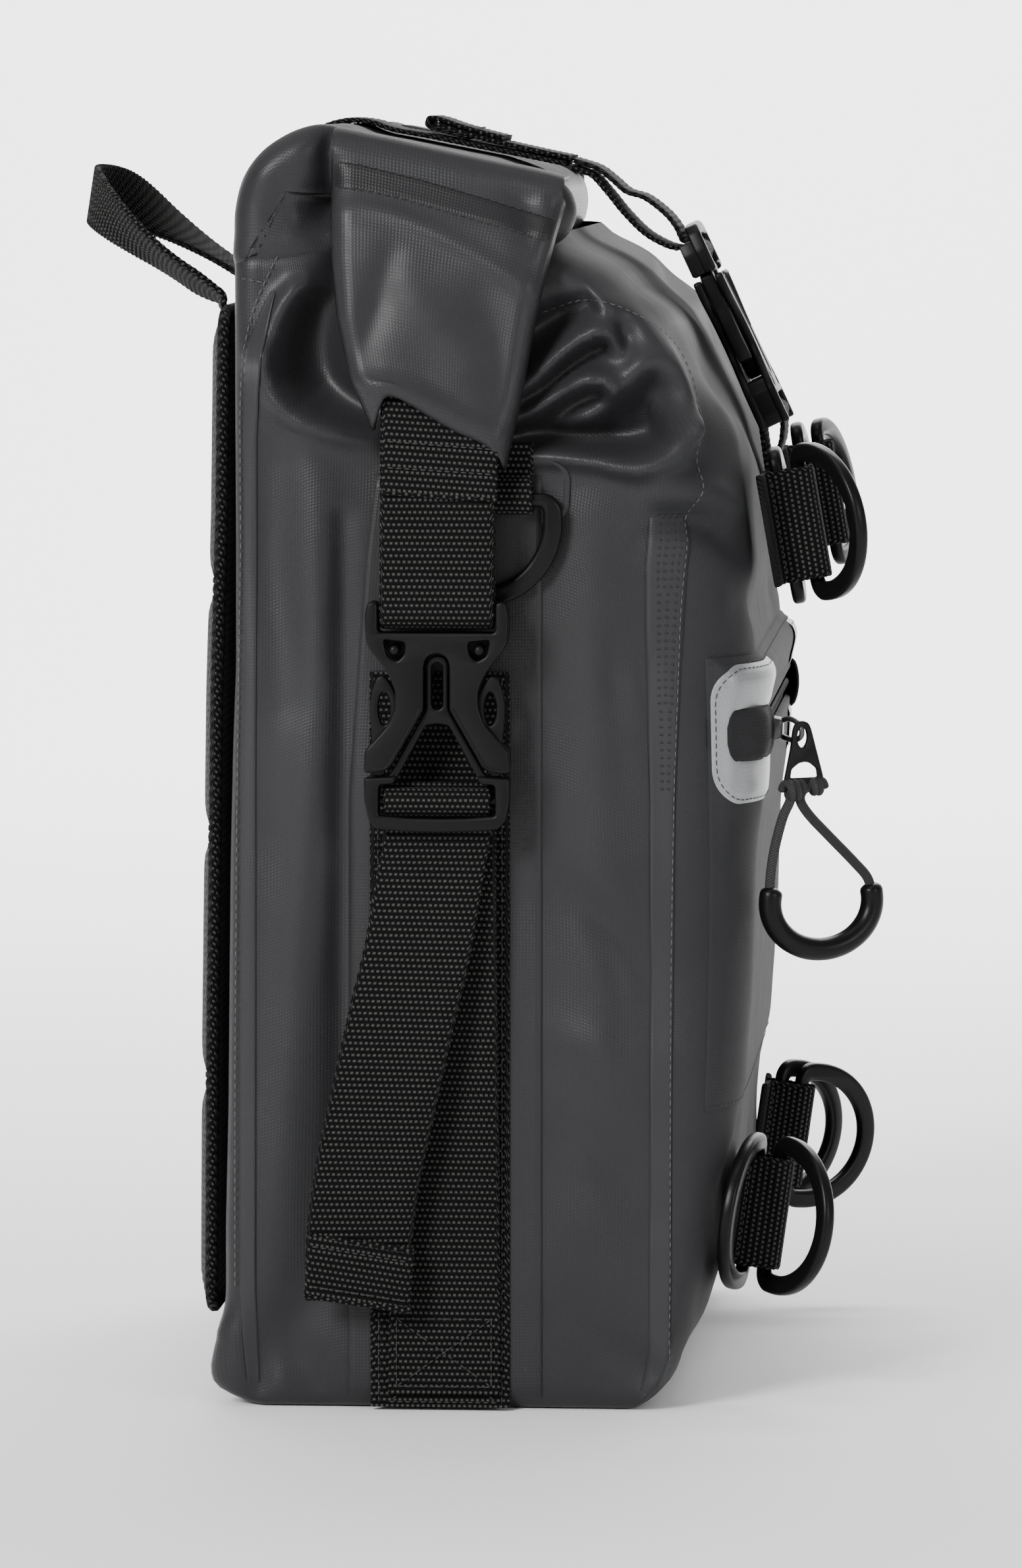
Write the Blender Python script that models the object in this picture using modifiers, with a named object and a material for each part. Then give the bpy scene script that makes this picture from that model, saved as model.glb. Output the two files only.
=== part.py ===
"""A roll-top pannier bag, built as separate pieces.

Lengths in this file are millimetres, and MM turns them into the metres of the scene. The bag's outer front
faces +X and its padded back faces -X, Y runs across its width and +Z is up. The origin is the centre of the
flat base. The side at -Y is called right and the side at +Y left.
"""

import math

import bmesh
import bpy
from mathutils import Matrix, Vector

MM = 0.001
GAP = 0.3  # left between pieces that touch
RIGHT, LEFT = -1, 1
SIDE_NAMES = {RIGHT: "right", LEFT: "left"}

# Body of the bag
HALF_WIDTH = 148.0
FABRIC = 1.6
BACK_CORNER = 8.0
FRONT_CORNER = 38.0  # how far along Y the front corners are round
CORNER_STEP = 15  # degrees between the points of a front corner
# Height, back face, where the front corner starts, and front face of each section of the shell
STATIONS = (
    (0, -66, 62, 70),
    (4, -72, 70, 80),
    (25, -74, 77, 87),
    (60, -74, 77, 94),
    (100, -73, 77, 99),
    (185, -72, 76, 104),
    (250, -70, 72, 107),
    (280, -70, 70, 107),
    (313, -70, 66, 100),
    (343, -70, 62, 89),
    (365, -70, 54, 79),
    (380, -70, 44, 66),
    (390, -70, 24, 44),
)

# Rolled closure
ROLL_CENTRE = (3.0, 411.0)
ROLL_TILT = math.radians(11.6)
ROLL_HALF_LENGTH = 146.0
ROLL_FRONT = 31.0  # from the centre of the roll to the centre of its front bend
ROLL_BACK = -24.0
ROLL_LAYERS = (9.4, 6.2, 3.0)  # half heights of the turns, outermost first
FLAP_INNER, FLAP_OUTER = 151.0, 165.5
LIP_HEIGHT = 320.0

# Webbing
WEB = 38.0
WEB_THICK = 1.8

# Side-release buckle: heights are measured down from the socket's top edge
BUCKLE_LENGTH = 76.8
BUCKLE_HALF = 24.1
SOCKET_THICK = 5.5  # half of the thickness
FRAME_THICK = 4.5  # half of the thickness
ARM_LAYER = 2.4  # half of the thickness of the tongue and the arms
CAVITY_LAYER = 2.7
BUCKLE_PLANE = 164.8  # centre of the side buckles, out from the middle of the bag
SIDE_BUCKLE_Z = 235.6
FRONT_BUCKLE = (91.0, 0.0, 361.0)
FRONT_BUCKLE_LEAN = math.radians(25)
PLUG_BAR = 66.9  # down to the centre of the bar that the webbing turns round
SOCKET_BAR = 4.25

# D-rings
RING_DEPTH, RING_HALF_HEIGHT = 38.0, 27.0
RING_THICK = 2.25  # half of the thickness, and of the bar's width
RING_RIM = 6.5
BAR_INNER, BAR_OUTER = 5.9, 13.2  # how far the two bars in a loop stand off its foot
LOOP_RADIUS = 4.4
LOOP_Y = 105.0
# Height, lean and standoff of the front loops
LOOPS = {"upper": (294.5, math.radians(10), 3.2), "lower": (64.0, math.radians(-8), 2.2)}
# Direction that each ring points in, in degrees from straight ahead towards the left
RING_ANGLES = {
    ("upper", RIGHT): (90, -57),
    ("lower", RIGHT): (-102, -55),
    ("upper", LEFT): (88, 77),
    ("lower", LEFT): (50, 38),
}
SIDE_RING_X, SIDE_RING_Z, SIDE_RING_Y = 14.0, 307.0, 153.6
SIDE_RING_TILT = math.radians(3.5)

# Back
PAD_FACE, PAD_INNER = -84.0, -75.0
PAD_HALF, PAD_BOTTOM, PAD_TOP = 128.0, 33.0, 366.0

# Front pocket and its zip
POCKET_LOW, POCKET_HIGH = 100.0, 254.0
POCKET_DEPTH = 2.6
ZIP_Z = 228.0
ZIP_HALF = 118.0
POCKET_TURN = 60  # degrees of the front corner that the pocket reaches round
REFLECTOR_CLEAR = 3.6  # along X, where the panel slopes the most
PULL_TURN = math.radians(30)
PULL_TOP = (120.5, -120.0, 229.0)
SLIDER_Y = -111.5

parts = None
scratch = None


def start():
    """Empties the file and makes the collection of the bag and one for shapes that are used up."""
    global parts, scratch
    for old in list(bpy.data.objects):
        bpy.data.objects.remove(old)
    parts = bpy.data.collections.new("pannier_bag")
    scratch = bpy.data.collections.new("scratch")
    for collection in (parts, scratch):
        bpy.context.scene.collection.children.link(collection)


def material(name, colour, roughness, metallic=0.0):
    made = bpy.data.materials.new(name)
    made.use_nodes = True
    shader = made.node_tree.nodes["Principled BSDF"]
    shader.inputs["Base Color"].default_value = (*colour, 1.0)
    shader.inputs["Roughness"].default_value = roughness
    shader.inputs["Metallic"].default_value = metallic
    return made


def put(name, mesh, finish, matrix=None):
    """One piece of the bag."""
    if not mesh.materials:
        mesh.materials.append(finish)
    piece = bpy.data.objects.new(name, mesh)
    piece.matrix_world = matrix or Matrix.Identity(4)
    parts.objects.link(piece)
    return piece


def evaluated(carrier):
    """The mesh of a scratch object with its modifiers, which uses the object up."""
    bpy.context.view_layer.update()
    graph = bpy.context.evaluated_depsgraph_get()
    mesh = bpy.data.meshes.new_from_object(carrier.evaluated_get(graph))
    mesh.transform(carrier.matrix_world)
    bpy.data.objects.remove(carrier)
    bm = bmesh.new()
    bm.from_mesh(mesh)
    bmesh.ops.remove_doubles(bm, verts=bm.verts, dist=0.00001)
    bmesh.ops.recalc_face_normals(bm, faces=bm.faces)
    many_sided = [face for face in bm.faces if len(face.verts) > 4]
    bmesh.ops.triangulate(bm, faces=many_sided, ngon_method="EAR_CLIP")
    bm.to_mesh(mesh)
    bm.free()
    return mesh


def plate(outlines, low, high):
    """A plate in X and Z from Y low to Y high: the first outline is its edge and the others are holes."""
    curve = bpy.data.curves.new("outline", "CURVE")
    curve.dimensions = "2D"
    curve.fill_mode = "BOTH"
    curve.extrude = (high - low) / 2 * MM
    for outline in outlines:
        spline = curve.splines.new("POLY")
        spline.points.add(len(outline) - 1)
        for point, (x, z) in zip(spline.points, outline):
            point.co = (x * MM, z * MM, 0, 1)
        spline.use_cyclic_u = True
    carrier = bpy.data.objects.new("outline", curve)
    scratch.objects.link(carrier)
    mesh = evaluated(carrier)
    upright = Matrix.Rotation(math.radians(90), 4, "X")
    mesh.transform(Matrix.Translation((0, (low + high) / 2 * MM, 0)) @ upright)
    return mesh


def block(low, high):
    """A box between two corners."""
    mesh = bpy.data.meshes.new("block")
    bm = bmesh.new()
    bmesh.ops.create_cube(bm, size=1.0)
    low, high = Vector(low) * MM, Vector(high) * MM
    bmesh.ops.scale(bm, vec=high - low, verts=bm.verts)
    bmesh.ops.translate(bm, vec=(low + high) / 2, verts=bm.verts)
    bm.to_mesh(mesh)
    bm.free()
    return mesh


def combined(base, operation, others):
    """The base mesh after a Boolean with each of the others."""
    carrier = bpy.data.objects.new("base", base)
    scratch.objects.link(carrier)
    tools = []
    for mesh in others:
        tool = bpy.data.objects.new("tool", mesh)
        tool.display_type = "WIRE"
        tool.hide_render = True
        scratch.objects.link(tool)
        step = carrier.modifiers.new("step", "BOOLEAN")
        step.operation = operation
        step.object = tool
        tools.append(tool)
    mesh = evaluated(carrier)
    for tool in tools:
        bpy.data.objects.remove(tool)
    return mesh


def strip(path, across, thickness=WEB_THICK):
    """A band of even thickness whose centre line is swept along across."""
    mesh = bpy.data.meshes.new("strip")
    bm = bmesh.new()
    verts = [bm.verts.new(Vector(point) * MM) for point in path]
    edges = [bm.edges.new(pair) for pair in zip(verts, verts[1:])]
    swept = bmesh.ops.extrude_edge_only(bm, edges=edges)["geom"]
    moved = [v for v in swept if isinstance(v, bmesh.types.BMVert)]
    bmesh.ops.translate(bm, verts=moved, vec=Vector(across) * MM)
    bmesh.ops.recalc_face_normals(bm, faces=bm.faces)
    bm.to_mesh(mesh)
    bm.free()
    carrier = bpy.data.objects.new("strip", mesh)
    scratch.objects.link(carrier)
    solid = carrier.modifiers.new("thickness", "SOLIDIFY")
    solid.thickness = thickness * MM
    solid.offset = 0
    solid.use_even_offset = True
    return evaluated(carrier)


def tube(path, radius):
    """A round rod along a path, with flat ends."""
    curve = bpy.data.curves.new("tube", "CURVE")
    curve.dimensions = "3D"
    curve.bevel_depth = radius * MM
    curve.bevel_resolution = 2
    curve.use_fill_caps = True
    spline = curve.splines.new("POLY")
    spline.points.add(len(path) - 1)
    for point, place in zip(spline.points, path):
        point.co = (*(Vector(place) * MM), 1)
    carrier = bpy.data.objects.new("tube", curve)
    scratch.objects.link(carrier)
    return evaluated(carrier)


def arc(centre, radii, first, last, steps):
    """Points on an ellipse between two angles in degrees."""
    points = []
    for step in range(steps + 1):
        turn = math.radians(first + (last - first) * step / steps)
        points.append((centre[0] + radii[0] * math.cos(turn), centre[1] + radii[1] * math.sin(turn)))
    return points


def mirrored(half):
    """A closed outline from its right half, which runs from the centre line to the centre line."""
    other = [(-x, z) for x, z in reversed(half) if abs(x) > 0.01]
    return list(half) + other


def station(z):
    """Back face, start of the front corner and front face of the shell at a height."""
    for low, high in zip(STATIONS, STATIONS[1:]):
        if z <= high[0]:
            share = (z - low[0]) / (high[0] - low[0])
            return [a + (b - a) * share for a, b in zip(low[1:], high[1:])]
    return list(STATIONS[-1][1:])


def front_face(y, z):
    """X of the shell's front at a place across the width and a height."""
    _, seam, front = station(z)
    past = max(0.0, abs(y) - (HALF_WIDTH - FRONT_CORNER)) / FRONT_CORNER
    return seam + (front - seam) * math.sqrt(max(0.0, 1 - past * past))


def shell_section(back, seam, front):
    """Outline of the shell in X and Y."""
    flat = HALF_WIDTH - FRONT_CORNER
    half = [(front, -flat / 2)]
    half += [(x, -y) for x, y in arc((seam, flat), (front - seam, FRONT_CORNER), 0, 90, 90 // CORNER_STEP)]
    half += [((back + seam) / 2, -HALF_WIDTH)]
    corner = (back + BACK_CORNER, HALF_WIDTH - BACK_CORNER)
    half += [(x, -y) for x, y in arc(corner, (BACK_CORNER, BACK_CORNER), 90, 180, 3)]
    return half + [(back, 0)] + [(x, -y) for x, y in reversed(half)] + [(front, 0)]


def shell():
    """Loft through the sections, closed at the bottom and open at the top."""
    mesh = bpy.data.meshes.new("shell")
    bm = bmesh.new()
    rings = []
    for z, back, seam, front in STATIONS:
        outline = shell_section(back, seam, front)
        rings.append([bm.verts.new(Vector((x, y, z)) * MM) for x, y in outline])
    for lower, upper in zip(rings, rings[1:]):
        for i, start_vert in enumerate(lower):
            follow = (i + 1) % len(lower)
            bm.faces.new((start_vert, lower[follow], upper[follow], upper[i]))
    bm.faces.new(rings[0])
    bmesh.ops.recalc_face_normals(bm, faces=bm.faces)
    bm.to_mesh(mesh)
    bm.free()
    carrier = bpy.data.objects.new("shell", mesh)
    scratch.objects.link(carrier)
    wall = carrier.modifiers.new("wall", "SOLIDIFY")
    wall.thickness = FABRIC * MM
    wall.offset = -1
    return evaluated(carrier)


def roll_point(along, above):
    """X and Z of a point of the roll, from its place along the flat of the roll and above its middle."""
    x = ROLL_CENTRE[0] + along * math.cos(ROLL_TILT) + above * math.sin(ROLL_TILT)
    z = ROLL_CENTRE[1] - along * math.sin(ROLL_TILT) + above * math.cos(ROLL_TILT)
    return x, z


def roll_path():
    """The back wall's fabric over the hump and into the flat spiral of the roll, from outside to inside."""
    path = [(-69, 392), (-68, 412), (-58, 424.5), (-46, 430), (-34, 428)]
    shrink = 0.0
    for outer, inner in zip(ROLL_LAYERS, ROLL_LAYERS[1:] + (None,)):
        front = ROLL_FRONT - shrink
        path += [roll_point(*p) for p in arc((front, 0), (outer, outer), 90, -90, 5)]
        if inner is None:
            path.append(roll_point(ROLL_BACK + shrink, -outer))
        else:
            bend = (outer + inner) / 2
            middle = (ROLL_BACK + shrink, (inner - outer) / 2)
            path += [roll_point(*p) for p in arc(middle, (bend, bend), 270, 90, 5)]
        shrink += 3.0
    return path


def across_bag(outline_xz, low_y):
    """Points of an X and Z outline at one Y."""
    return [(x, low_y, z) for x, z in outline_xz]


# ---- Buckle, in its own frame: X across, Y inwards to the bag, Z up, with its centre at the origin ----


def down(v):
    """Height in the buckle's frame of a distance down from the socket's top edge."""
    return BUCKLE_LENGTH / 2 - v


def flipped(points):
    return [(x, down(v)) for x, v in points]


def buckle_socket():
    half = [(19.9, 2), (19.9, 0), (23.8, 0), (23.8, 10.3), (21.6, 23.1), (18.4, 23.7)]
    half += [(15.2, 28), (13.7, 34), (15.5, 40.5), (19.6, 46.5), (23.8, 50.2), (24.1, 59.1)]
    slot = [(-19.5, 6.5), (19.5, 6.5), (19.5, 10.2), (-19.5, 10.2)]
    body = plate([flipped(mirrored(half)), flipped(slot)], -SOCKET_THICK, SOCKET_THICK)
    notch = mirrored([(0, 17.7), (3, 17.9), (4.4, 20), (4.4, 36), (16.5, 59.3), (16.5, 62)])
    cuts = [
        block((-19.5, -CAVITY_LAYER, down(24)), (19.5, CAVITY_LAYER, down(16))),
        block((-25, -CAVITY_LAYER, down(50.4)), (25, CAVITY_LAYER, down(23.4))),
        block((-22.9, -CAVITY_LAYER, down(62)), (22.9, CAVITY_LAYER, down(49))),
        plate([flipped(notch)], -7, 0),
        block((-19.6, 2, down(10.3)), (19.6, 7, down(-1))),
        block((-19.6, -7, down(10.3)), (19.6, -2, down(-1))),
    ]
    return combined(body, "DIFFERENCE", cuts)


def buckle_plug():
    frame_half = [(14, 59.4), (BUCKLE_HALF, 59.4), (22.4, 73.5), (18, BUCKLE_LENGTH)]
    inner_half = [(19.2, 72.9), (19.2, 62.1), (14.5, 62.1)]
    outline = frame_half + [(-x, v) for x, v in reversed(frame_half)]
    outline += [(-x, v) for x, v in reversed(inner_half)] + inner_half
    frame = plate([flipped(outline)], -FRAME_THICK, FRAME_THICK)
    tongue_half = [(0, 17.9), (2.6, 18.6), (3.7, 20.5), (3.7, 36.5), (16.3, 59.3), (16.3, 61), (12, 61)]
    tongue = plate([flipped(mirrored(tongue_half + [(0, 42.5)]))], -ARM_LAYER, ARM_LAYER)
    bar = block((-20.5, -1.6, down(PLUG_BAR + 1.7)), (20.5, 1.6, down(PLUG_BAR - 1.7)))
    passage = block((-23, 0.4, down(80)), (23, 7, down(72)))
    return combined(combined(frame, "DIFFERENCE", [passage]), "UNION", [tongue, bar])


def buckle_arm(hand):
    """One sprung arm of the plug, at the right or the left of the tongue."""
    line = [(19.4, 58.6), (18.6, 52), (19.6, 45), (20.6, 38), (20.4, 31), (18.2, 25.5)]
    path = [(hand * x, -ARM_LAYER, down(v)) for x, v in line]
    return strip(path, (0, 2 * ARM_LAYER, 0), 3.4)


def side_buckle_matrix(side):
    turn = Matrix.Rotation(0 if side == RIGHT else math.pi, 4, "Z")
    return Matrix.Translation(Vector((0, side * BUCKLE_PLANE, SIDE_BUCKLE_Z)) * MM) @ turn


def front_buckle_matrix():
    """The front buckle hangs with its plug on top, leaning back with the front of the bag."""
    lean_s, lean_c = math.sin(FRONT_BUCKLE_LEAN), math.cos(FRONT_BUCKLE_LEAN)
    turn = Matrix(((0, -lean_c, lean_s), (-1, 0, 0), (0, -lean_s, -lean_c))).to_4x4()
    return Matrix.Translation(Vector(FRONT_BUCKLE) * MM) @ turn


def add_buckles(plastic):
    places = {"right": side_buckle_matrix(RIGHT), "left": side_buckle_matrix(LEFT)}
    places["front"] = front_buckle_matrix()
    socket, plug = buckle_socket(), buckle_plug()
    arms = {"arm_a": buckle_arm(1), "arm_b": buckle_arm(-1)}
    for place, matrix in places.items():
        put(f"{place}_buckle_socket", socket, plastic, matrix)
        put(f"{place}_buckle_plug", plug, plastic, matrix)
        for arm, mesh in arms.items():
            put(f"{place}_buckle_{arm}", mesh, plastic, matrix)


def wrap_path():
    """Out and Z of webbing that turns round the plug's bar and leaves behind the plug's lower edge."""
    bar = down(PLUG_BAR)
    turn = [(-x, z) for x, z in arc((0, bar), (3.5, 3.5), -25, 215, 8)]
    return turn + [(0.6, bar - 4.4), (-2.4, bar - 5.7), (-2.6, bar - 11)]


# ---- Webbing of the two sides ----


def add_side_webbing(side, webbing, fabric):
    name = SIDE_NAMES[side]

    def band(path, width=WEB, thickness=WEB_THICK):
        """Webbing whose path is given by its centre X, how far it is out from the bag's middle, and Z."""
        left_edge = [(x - width / 2, side * out, z) for x, out, z in path]
        return strip(left_edge, (width, 0, 0), thickness)

    panel_edges = sorted((side * (HALF_WIDTH + GAP), side * (HALF_WIDTH + GAP + WEB_THICK)))
    outline = [(-24, 5), (23, 5), (23, 249), (-24, 249)]
    put(f"{name}_webbing_panel", plate([outline], *panel_edges), webbing)

    anchor = [(1, 151.4, 6), (1, 151.4, 34), (0, 158.7, 190), (0, 158.7, 213)]
    put(f"{name}_anchor_strap", band(anchor), webbing)

    tail = [(0, BUCKLE_PLANE + out, SIDE_BUCKLE_Z + z) for out, z in wrap_path()]
    tail += [(-3, 163.5, 180), (-12, 165.5, 135), (-23, 164, 85), (-27, 162, 52), (-27, 162, 38)]
    put(f"{name}_strap_tail", band(tail), webbing)

    bar = down(SOCKET_BAR)
    loop = [(1.25, 82), (1.25, 66), (4.3, 43)]
    loop += arc((0, bar), (4.3, 4.3), 0, -180, 6)
    loop += [(-4.3, 43), (-1.25, 66), (-1.25, 82)]
    path = [(0, BUCKLE_PLANE + out, SIDE_BUCKLE_Z + z) for out, z in loop]
    put(f"{name}_upper_strap", band(path), webbing)

    flap = [(-35, 418), (-33, 424), (36, 410), (40, 404), (38, 392), (29, 357), (24, LIP_HEIGHT)]
    flap += [(8, LIP_HEIGHT), (-19, LIP_HEIGHT + 8), (-28, 344), (-33, 365), (-35, 387)]
    flap_y = sorted((side * FLAP_INNER, side * FLAP_OUTER))
    put(f"{name}_roll_end", plate([flap], *flap_y), fabric)

    ring_loop = [(148.9 + GAP, 318), (149.9, 313)]
    ring_loop += [(SIDE_RING_Y - x, z) for x, z in arc((0, SIDE_RING_Z), (4.2, 4.2), 20, -215, 9)]
    ring_loop += [(155.6, 312.6), (152.0, 315.4), (150.9, 318)]
    path = [(SIDE_RING_X, out, z) for out, z in ring_loop]
    put(f"{name}_ring_tab", band(path, 34, 1.4), webbing)


def ring_mesh():
    """A D-ring: its straight bar lies on Z at the origin and its bow reaches out along X."""
    inner_half = RING_HALF_HEIGHT - RING_RIM
    outer = arc((7, 0), (RING_DEPTH - RING_THICK - 7, RING_HALF_HEIGHT), -90, 90, 12)
    outer += arc((7 - 2.25, RING_HALF_HEIGHT - 7), (7, 7), 90, 180, 2)
    outer += arc((7 - 2.25, 7 - RING_HALF_HEIGHT), (7, 7), 180, 270, 2)
    reach = RING_DEPTH - RING_THICK - RING_RIM
    inner = arc((6, 0), (reach - 6, inner_half), -90, 90, 12)
    inner += arc((RING_THICK + 1.5, inner_half - 1.5), (1.5, 1.5), 90, 180, 2)
    inner += arc((RING_THICK + 1.5, 1.5 - inner_half), (1.5, 1.5), 180, 270, 2)
    return plate([outer, inner], -RING_THICK, RING_THICK)


def loop_matrix(row, side):
    """Frame of a front loop: X out of the bag, Z along the bars."""
    height, lean, standoff = LOOPS[row]
    face = station(height)[2]
    turn = Matrix.Rotation(-lean, 4, "Y")
    out = turn @ Vector((standoff, 0, 0))
    return Matrix.Translation((Vector((face, side * LOOP_Y, height)) + out) * MM) @ turn


def add_rings(plastic, webbing):
    ring = ring_mesh()
    end = arc((BAR_OUTER, 0), (LOOP_RADIUS, LOOP_RADIUS), -90, 90, 6)
    loop = [(1, -13), (1, -6.2), (2.6, -LOOP_RADIUS)] + end + [(2.6, LOOP_RADIUS), (1, 6.2), (1, 13)]
    webbing_loop = strip([(x, y, -WEB / 2) for x, y in loop], (0, 0, WEB))
    for (row, side), angles in RING_ANGLES.items():
        frame = loop_matrix(row, side)
        name = f"{row}_{SIDE_NAMES[side]}"
        put(f"{name}_ring_loop", webbing_loop, webbing, frame)
        for label, bar, angle in zip(("inner", "outer"), (BAR_INNER, BAR_OUTER), angles):
            turn = Matrix.Rotation(math.radians(angle), 4, "Z")
            put(f"{name}_{label}_ring", ring, plastic, frame @ Matrix.Translation((bar * MM, 0, 0)) @ turn)
    for side in (RIGHT, LEFT):
        place = Matrix.Translation(Vector((SIDE_RING_X, side * SIDE_RING_Y, SIDE_RING_Z)) * MM)
        hang = Matrix.Rotation(-side * SIDE_RING_TILT, 4, "X") @ Matrix.Rotation(math.radians(90), 4, "Y")
        put(f"{SIDE_NAMES[side]}_side_ring", ring, plastic, place @ hang)


# ---- Closure over the top ----


def add_roll(fabric, board):
    path = across_bag(roll_path(), -ROLL_HALF_LENGTH)
    put("roll_top", strip(path, (0, 2 * ROLL_HALF_LENGTH, 0), FABRIC), fabric)
    ends = [roll_point(-17, 0), roll_point(17, 0)]
    put("roll_stiffener", strip(across_bag(ends, -140), (0, 280, 0), 1.6), board)


def add_front_strap(webbing):
    low = -WEB / 2
    width = (0, WEB, 0)
    top = ROLL_LAYERS[0] + (FABRIC + WEB_THICK) / 2 + GAP
    hump = [(-71.2, 397), (-70.2, 413.2), (-59.6, 426.5), (-46.4, 432.4), (-33.2, 430.2)]
    back = hump + [roll_point(-20, top), roll_point(ROLL_FRONT - 2, top)]
    put("front_strap_back", strip(across_bag(back, low), width), webbing)
    front = [(35.5, 416.4), (43.2, 413), (48.5, 407), (54, 400.3), (61, 393.5), (68, 389.5), (72.4, 388.2)]
    put("front_strap_front", strip(across_bag(front, low), width), webbing)

    matrix = front_buckle_matrix()
    wrap = [matrix @ (Vector((0, -out, z)) * MM) / MM for out, z in wrap_path()[1:]]
    tail = [(point.x, point.z) for point in wrap]
    tail += [(68, 400.5), (61, 405.8), (54.5, 408), (49.5, 412.2), (44, 416.2), (36.2, 418.8)]
    put("front_strap_tail_front", strip(across_bag(tail, low), width), webbing)
    over = top + WEB_THICK + GAP
    ends = [roll_point(ROLL_FRONT - 2, over), roll_point(-8, over), (-14, 433.2)]
    put("front_strap_tail_end", strip(across_bag(ends, low), width), webbing)

    bar = matrix @ (Vector((0, 0, down(SOCKET_BAR))) * MM) / MM
    lean = math.degrees(FRONT_BUCKLE_LEAN)
    turn = arc((bar.x, bar.z), (4.3, 4.3), 180 + lean, lean, 6)
    lower = [(105.8, 301), (103.6, 314)] + turn + [(109, 322), (106.1, 314), (108.2, 301)]
    put("front_strap_lower", strip(across_bag(lower, low), width), webbing)


# ---- Back, front pocket and zip ----


def add_back(pad_cloth, webbing, board):
    face = block((PAD_FACE, -PAD_HALF, PAD_BOTTOM), (PAD_INNER, PAD_HALF, PAD_TOP))
    put("back_pad", face, pad_cloth)
    reach, rim = PAD_HALF + 5, PAD_HALF + GAP
    edge = [(-reach, PAD_BOTTOM - 5), (reach, PAD_BOTTOM - 5), (reach, PAD_TOP + 5), (-reach, PAD_TOP + 5)]
    hole = [(-rim, PAD_BOTTOM - GAP), (rim, PAD_BOTTOM - GAP), (rim, PAD_TOP + GAP), (-rim, PAD_TOP + GAP)]
    binding = plate([edge, hole], -PAD_INNER, -PAD_FACE - 2)
    turn = Matrix.Rotation(math.radians(90), 4, "Z")
    put("pad_binding", binding, webbing, turn)

    put("back_board", block((-67.5, -130, 8), (-65, 130, 372)), board)
    put("base_board", block((-62, -130, 2.2), (62, 130, 4.7)), board)

    handle = []
    for step in range(13):
        turn = math.pi * step / 12
        reach = math.sin(turn)
        handle.append((-84.5 - 48 * reach, -52 * math.cos(turn), 369.5 + 34 * reach))
    put("haul_handle", strip(handle, (-3, 0, 20)), webbing)


def corner_width(turn):
    """Distance from the middle to a point of the front corner's arc, from its turn in degrees."""
    return HALF_WIDTH - FRONT_CORNER + FRONT_CORNER * math.sin(math.radians(turn))


def pocket_rise(y, z):
    """How far the inside of the pocket's panel stands off the front of the shell."""
    past_end = (corner_width(POCKET_TURN) - abs(y)) / 12
    share = min(1.0, past_end, (z - POCKET_LOW) / 10, (POCKET_HIGH - z) / 9)
    return GAP + POCKET_DEPTH * math.sin(max(0.0, share) * math.pi / 2)


def front_sheet(columns, rows, stand_off, thickness, kept):
    """A sheet over the front of the shell, of the cells of a grid that are kept."""
    mesh = bpy.data.meshes.new("sheet")
    bm = bmesh.new()
    grid = []
    for z in rows:
        places = [Vector((front_face(y, z) + stand_off(y, z), y, z)) * MM for y in columns]
        grid.append([bm.verts.new(place) for place in places])
    for row in range(len(rows) - 1):
        for column in range(len(columns) - 1):
            middle_y = (columns[column] + columns[column + 1]) / 2
            middle_z = (rows[row] + rows[row + 1]) / 2
            if kept(middle_y, middle_z):
                lower, upper = grid[row], grid[row + 1]
                bm.faces.new((lower[column], lower[column + 1], upper[column + 1], upper[column]))
    bmesh.ops.delete(bm, geom=[v for v in bm.verts if not v.link_faces], context="VERTS")
    bm.to_mesh(mesh)
    bm.free()
    carrier = bpy.data.objects.new("sheet", mesh)
    scratch.objects.link(carrier)
    cloth = carrier.modifiers.new("cloth", "SOLIDIFY")
    cloth.thickness = thickness * MM
    cloth.offset = 1
    return evaluated(carrier)


def add_pocket(fabric, zip_cloth, plastic, trim):
    """The pocket's panel, the zip in the slot near its top, and a reflector round each end of the zip."""
    half = [30, 60, 90] + [corner_width(turn) for turn in range(0, POCKET_TURN + 1, CORNER_STEP)]
    half.insert(4, ZIP_HALF)
    columns = [-y for y in reversed(half)] + [0] + half
    rows = [POCKET_LOW, 106, 112, 140, 185, ZIP_Z - 5, ZIP_Z + 5, 244, 250, POCKET_HIGH]
    panel = front_sheet(
        columns, rows, pocket_rise, FABRIC, lambda y, z: not (abs(z - ZIP_Z) < 5 and abs(y) < ZIP_HALF)
    )
    put("front_pocket", panel, fabric)

    for side in (RIGHT, LEFT):
        outline = sorted(side * y for y in (121, 126, corner_width(30), 133, 138))
        sheet = front_sheet(
            outline,
            (204, 213, 221, 235, 241, 247),
            lambda y, z: pocket_rise(y, z) + REFLECTOR_CLEAR,
            0.6,
            lambda y, z: abs(y) > corner_width(30) or abs(z - ZIP_Z) > 8,
        )
        put(f"{SIDE_NAMES[side]}_reflector", sheet, trim)

    chain_x = front_face(0, ZIP_Z) + POCKET_DEPTH
    chain = block((chain_x - 1, 1 - ZIP_HALF, ZIP_Z - 4), (chain_x + 1.2, ZIP_HALF - 1, ZIP_Z + 4))
    put("zip_chain", chain, zip_cloth)
    slider = block((chain_x + 1.6, SLIDER_Y - 5.5, ZIP_Z - 4), (chain_x + 8, SLIDER_Y + 5.5, ZIP_Z + 4))
    put("zip_slider", slider, plastic)
    add_pull(plastic, zip_cloth)


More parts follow.
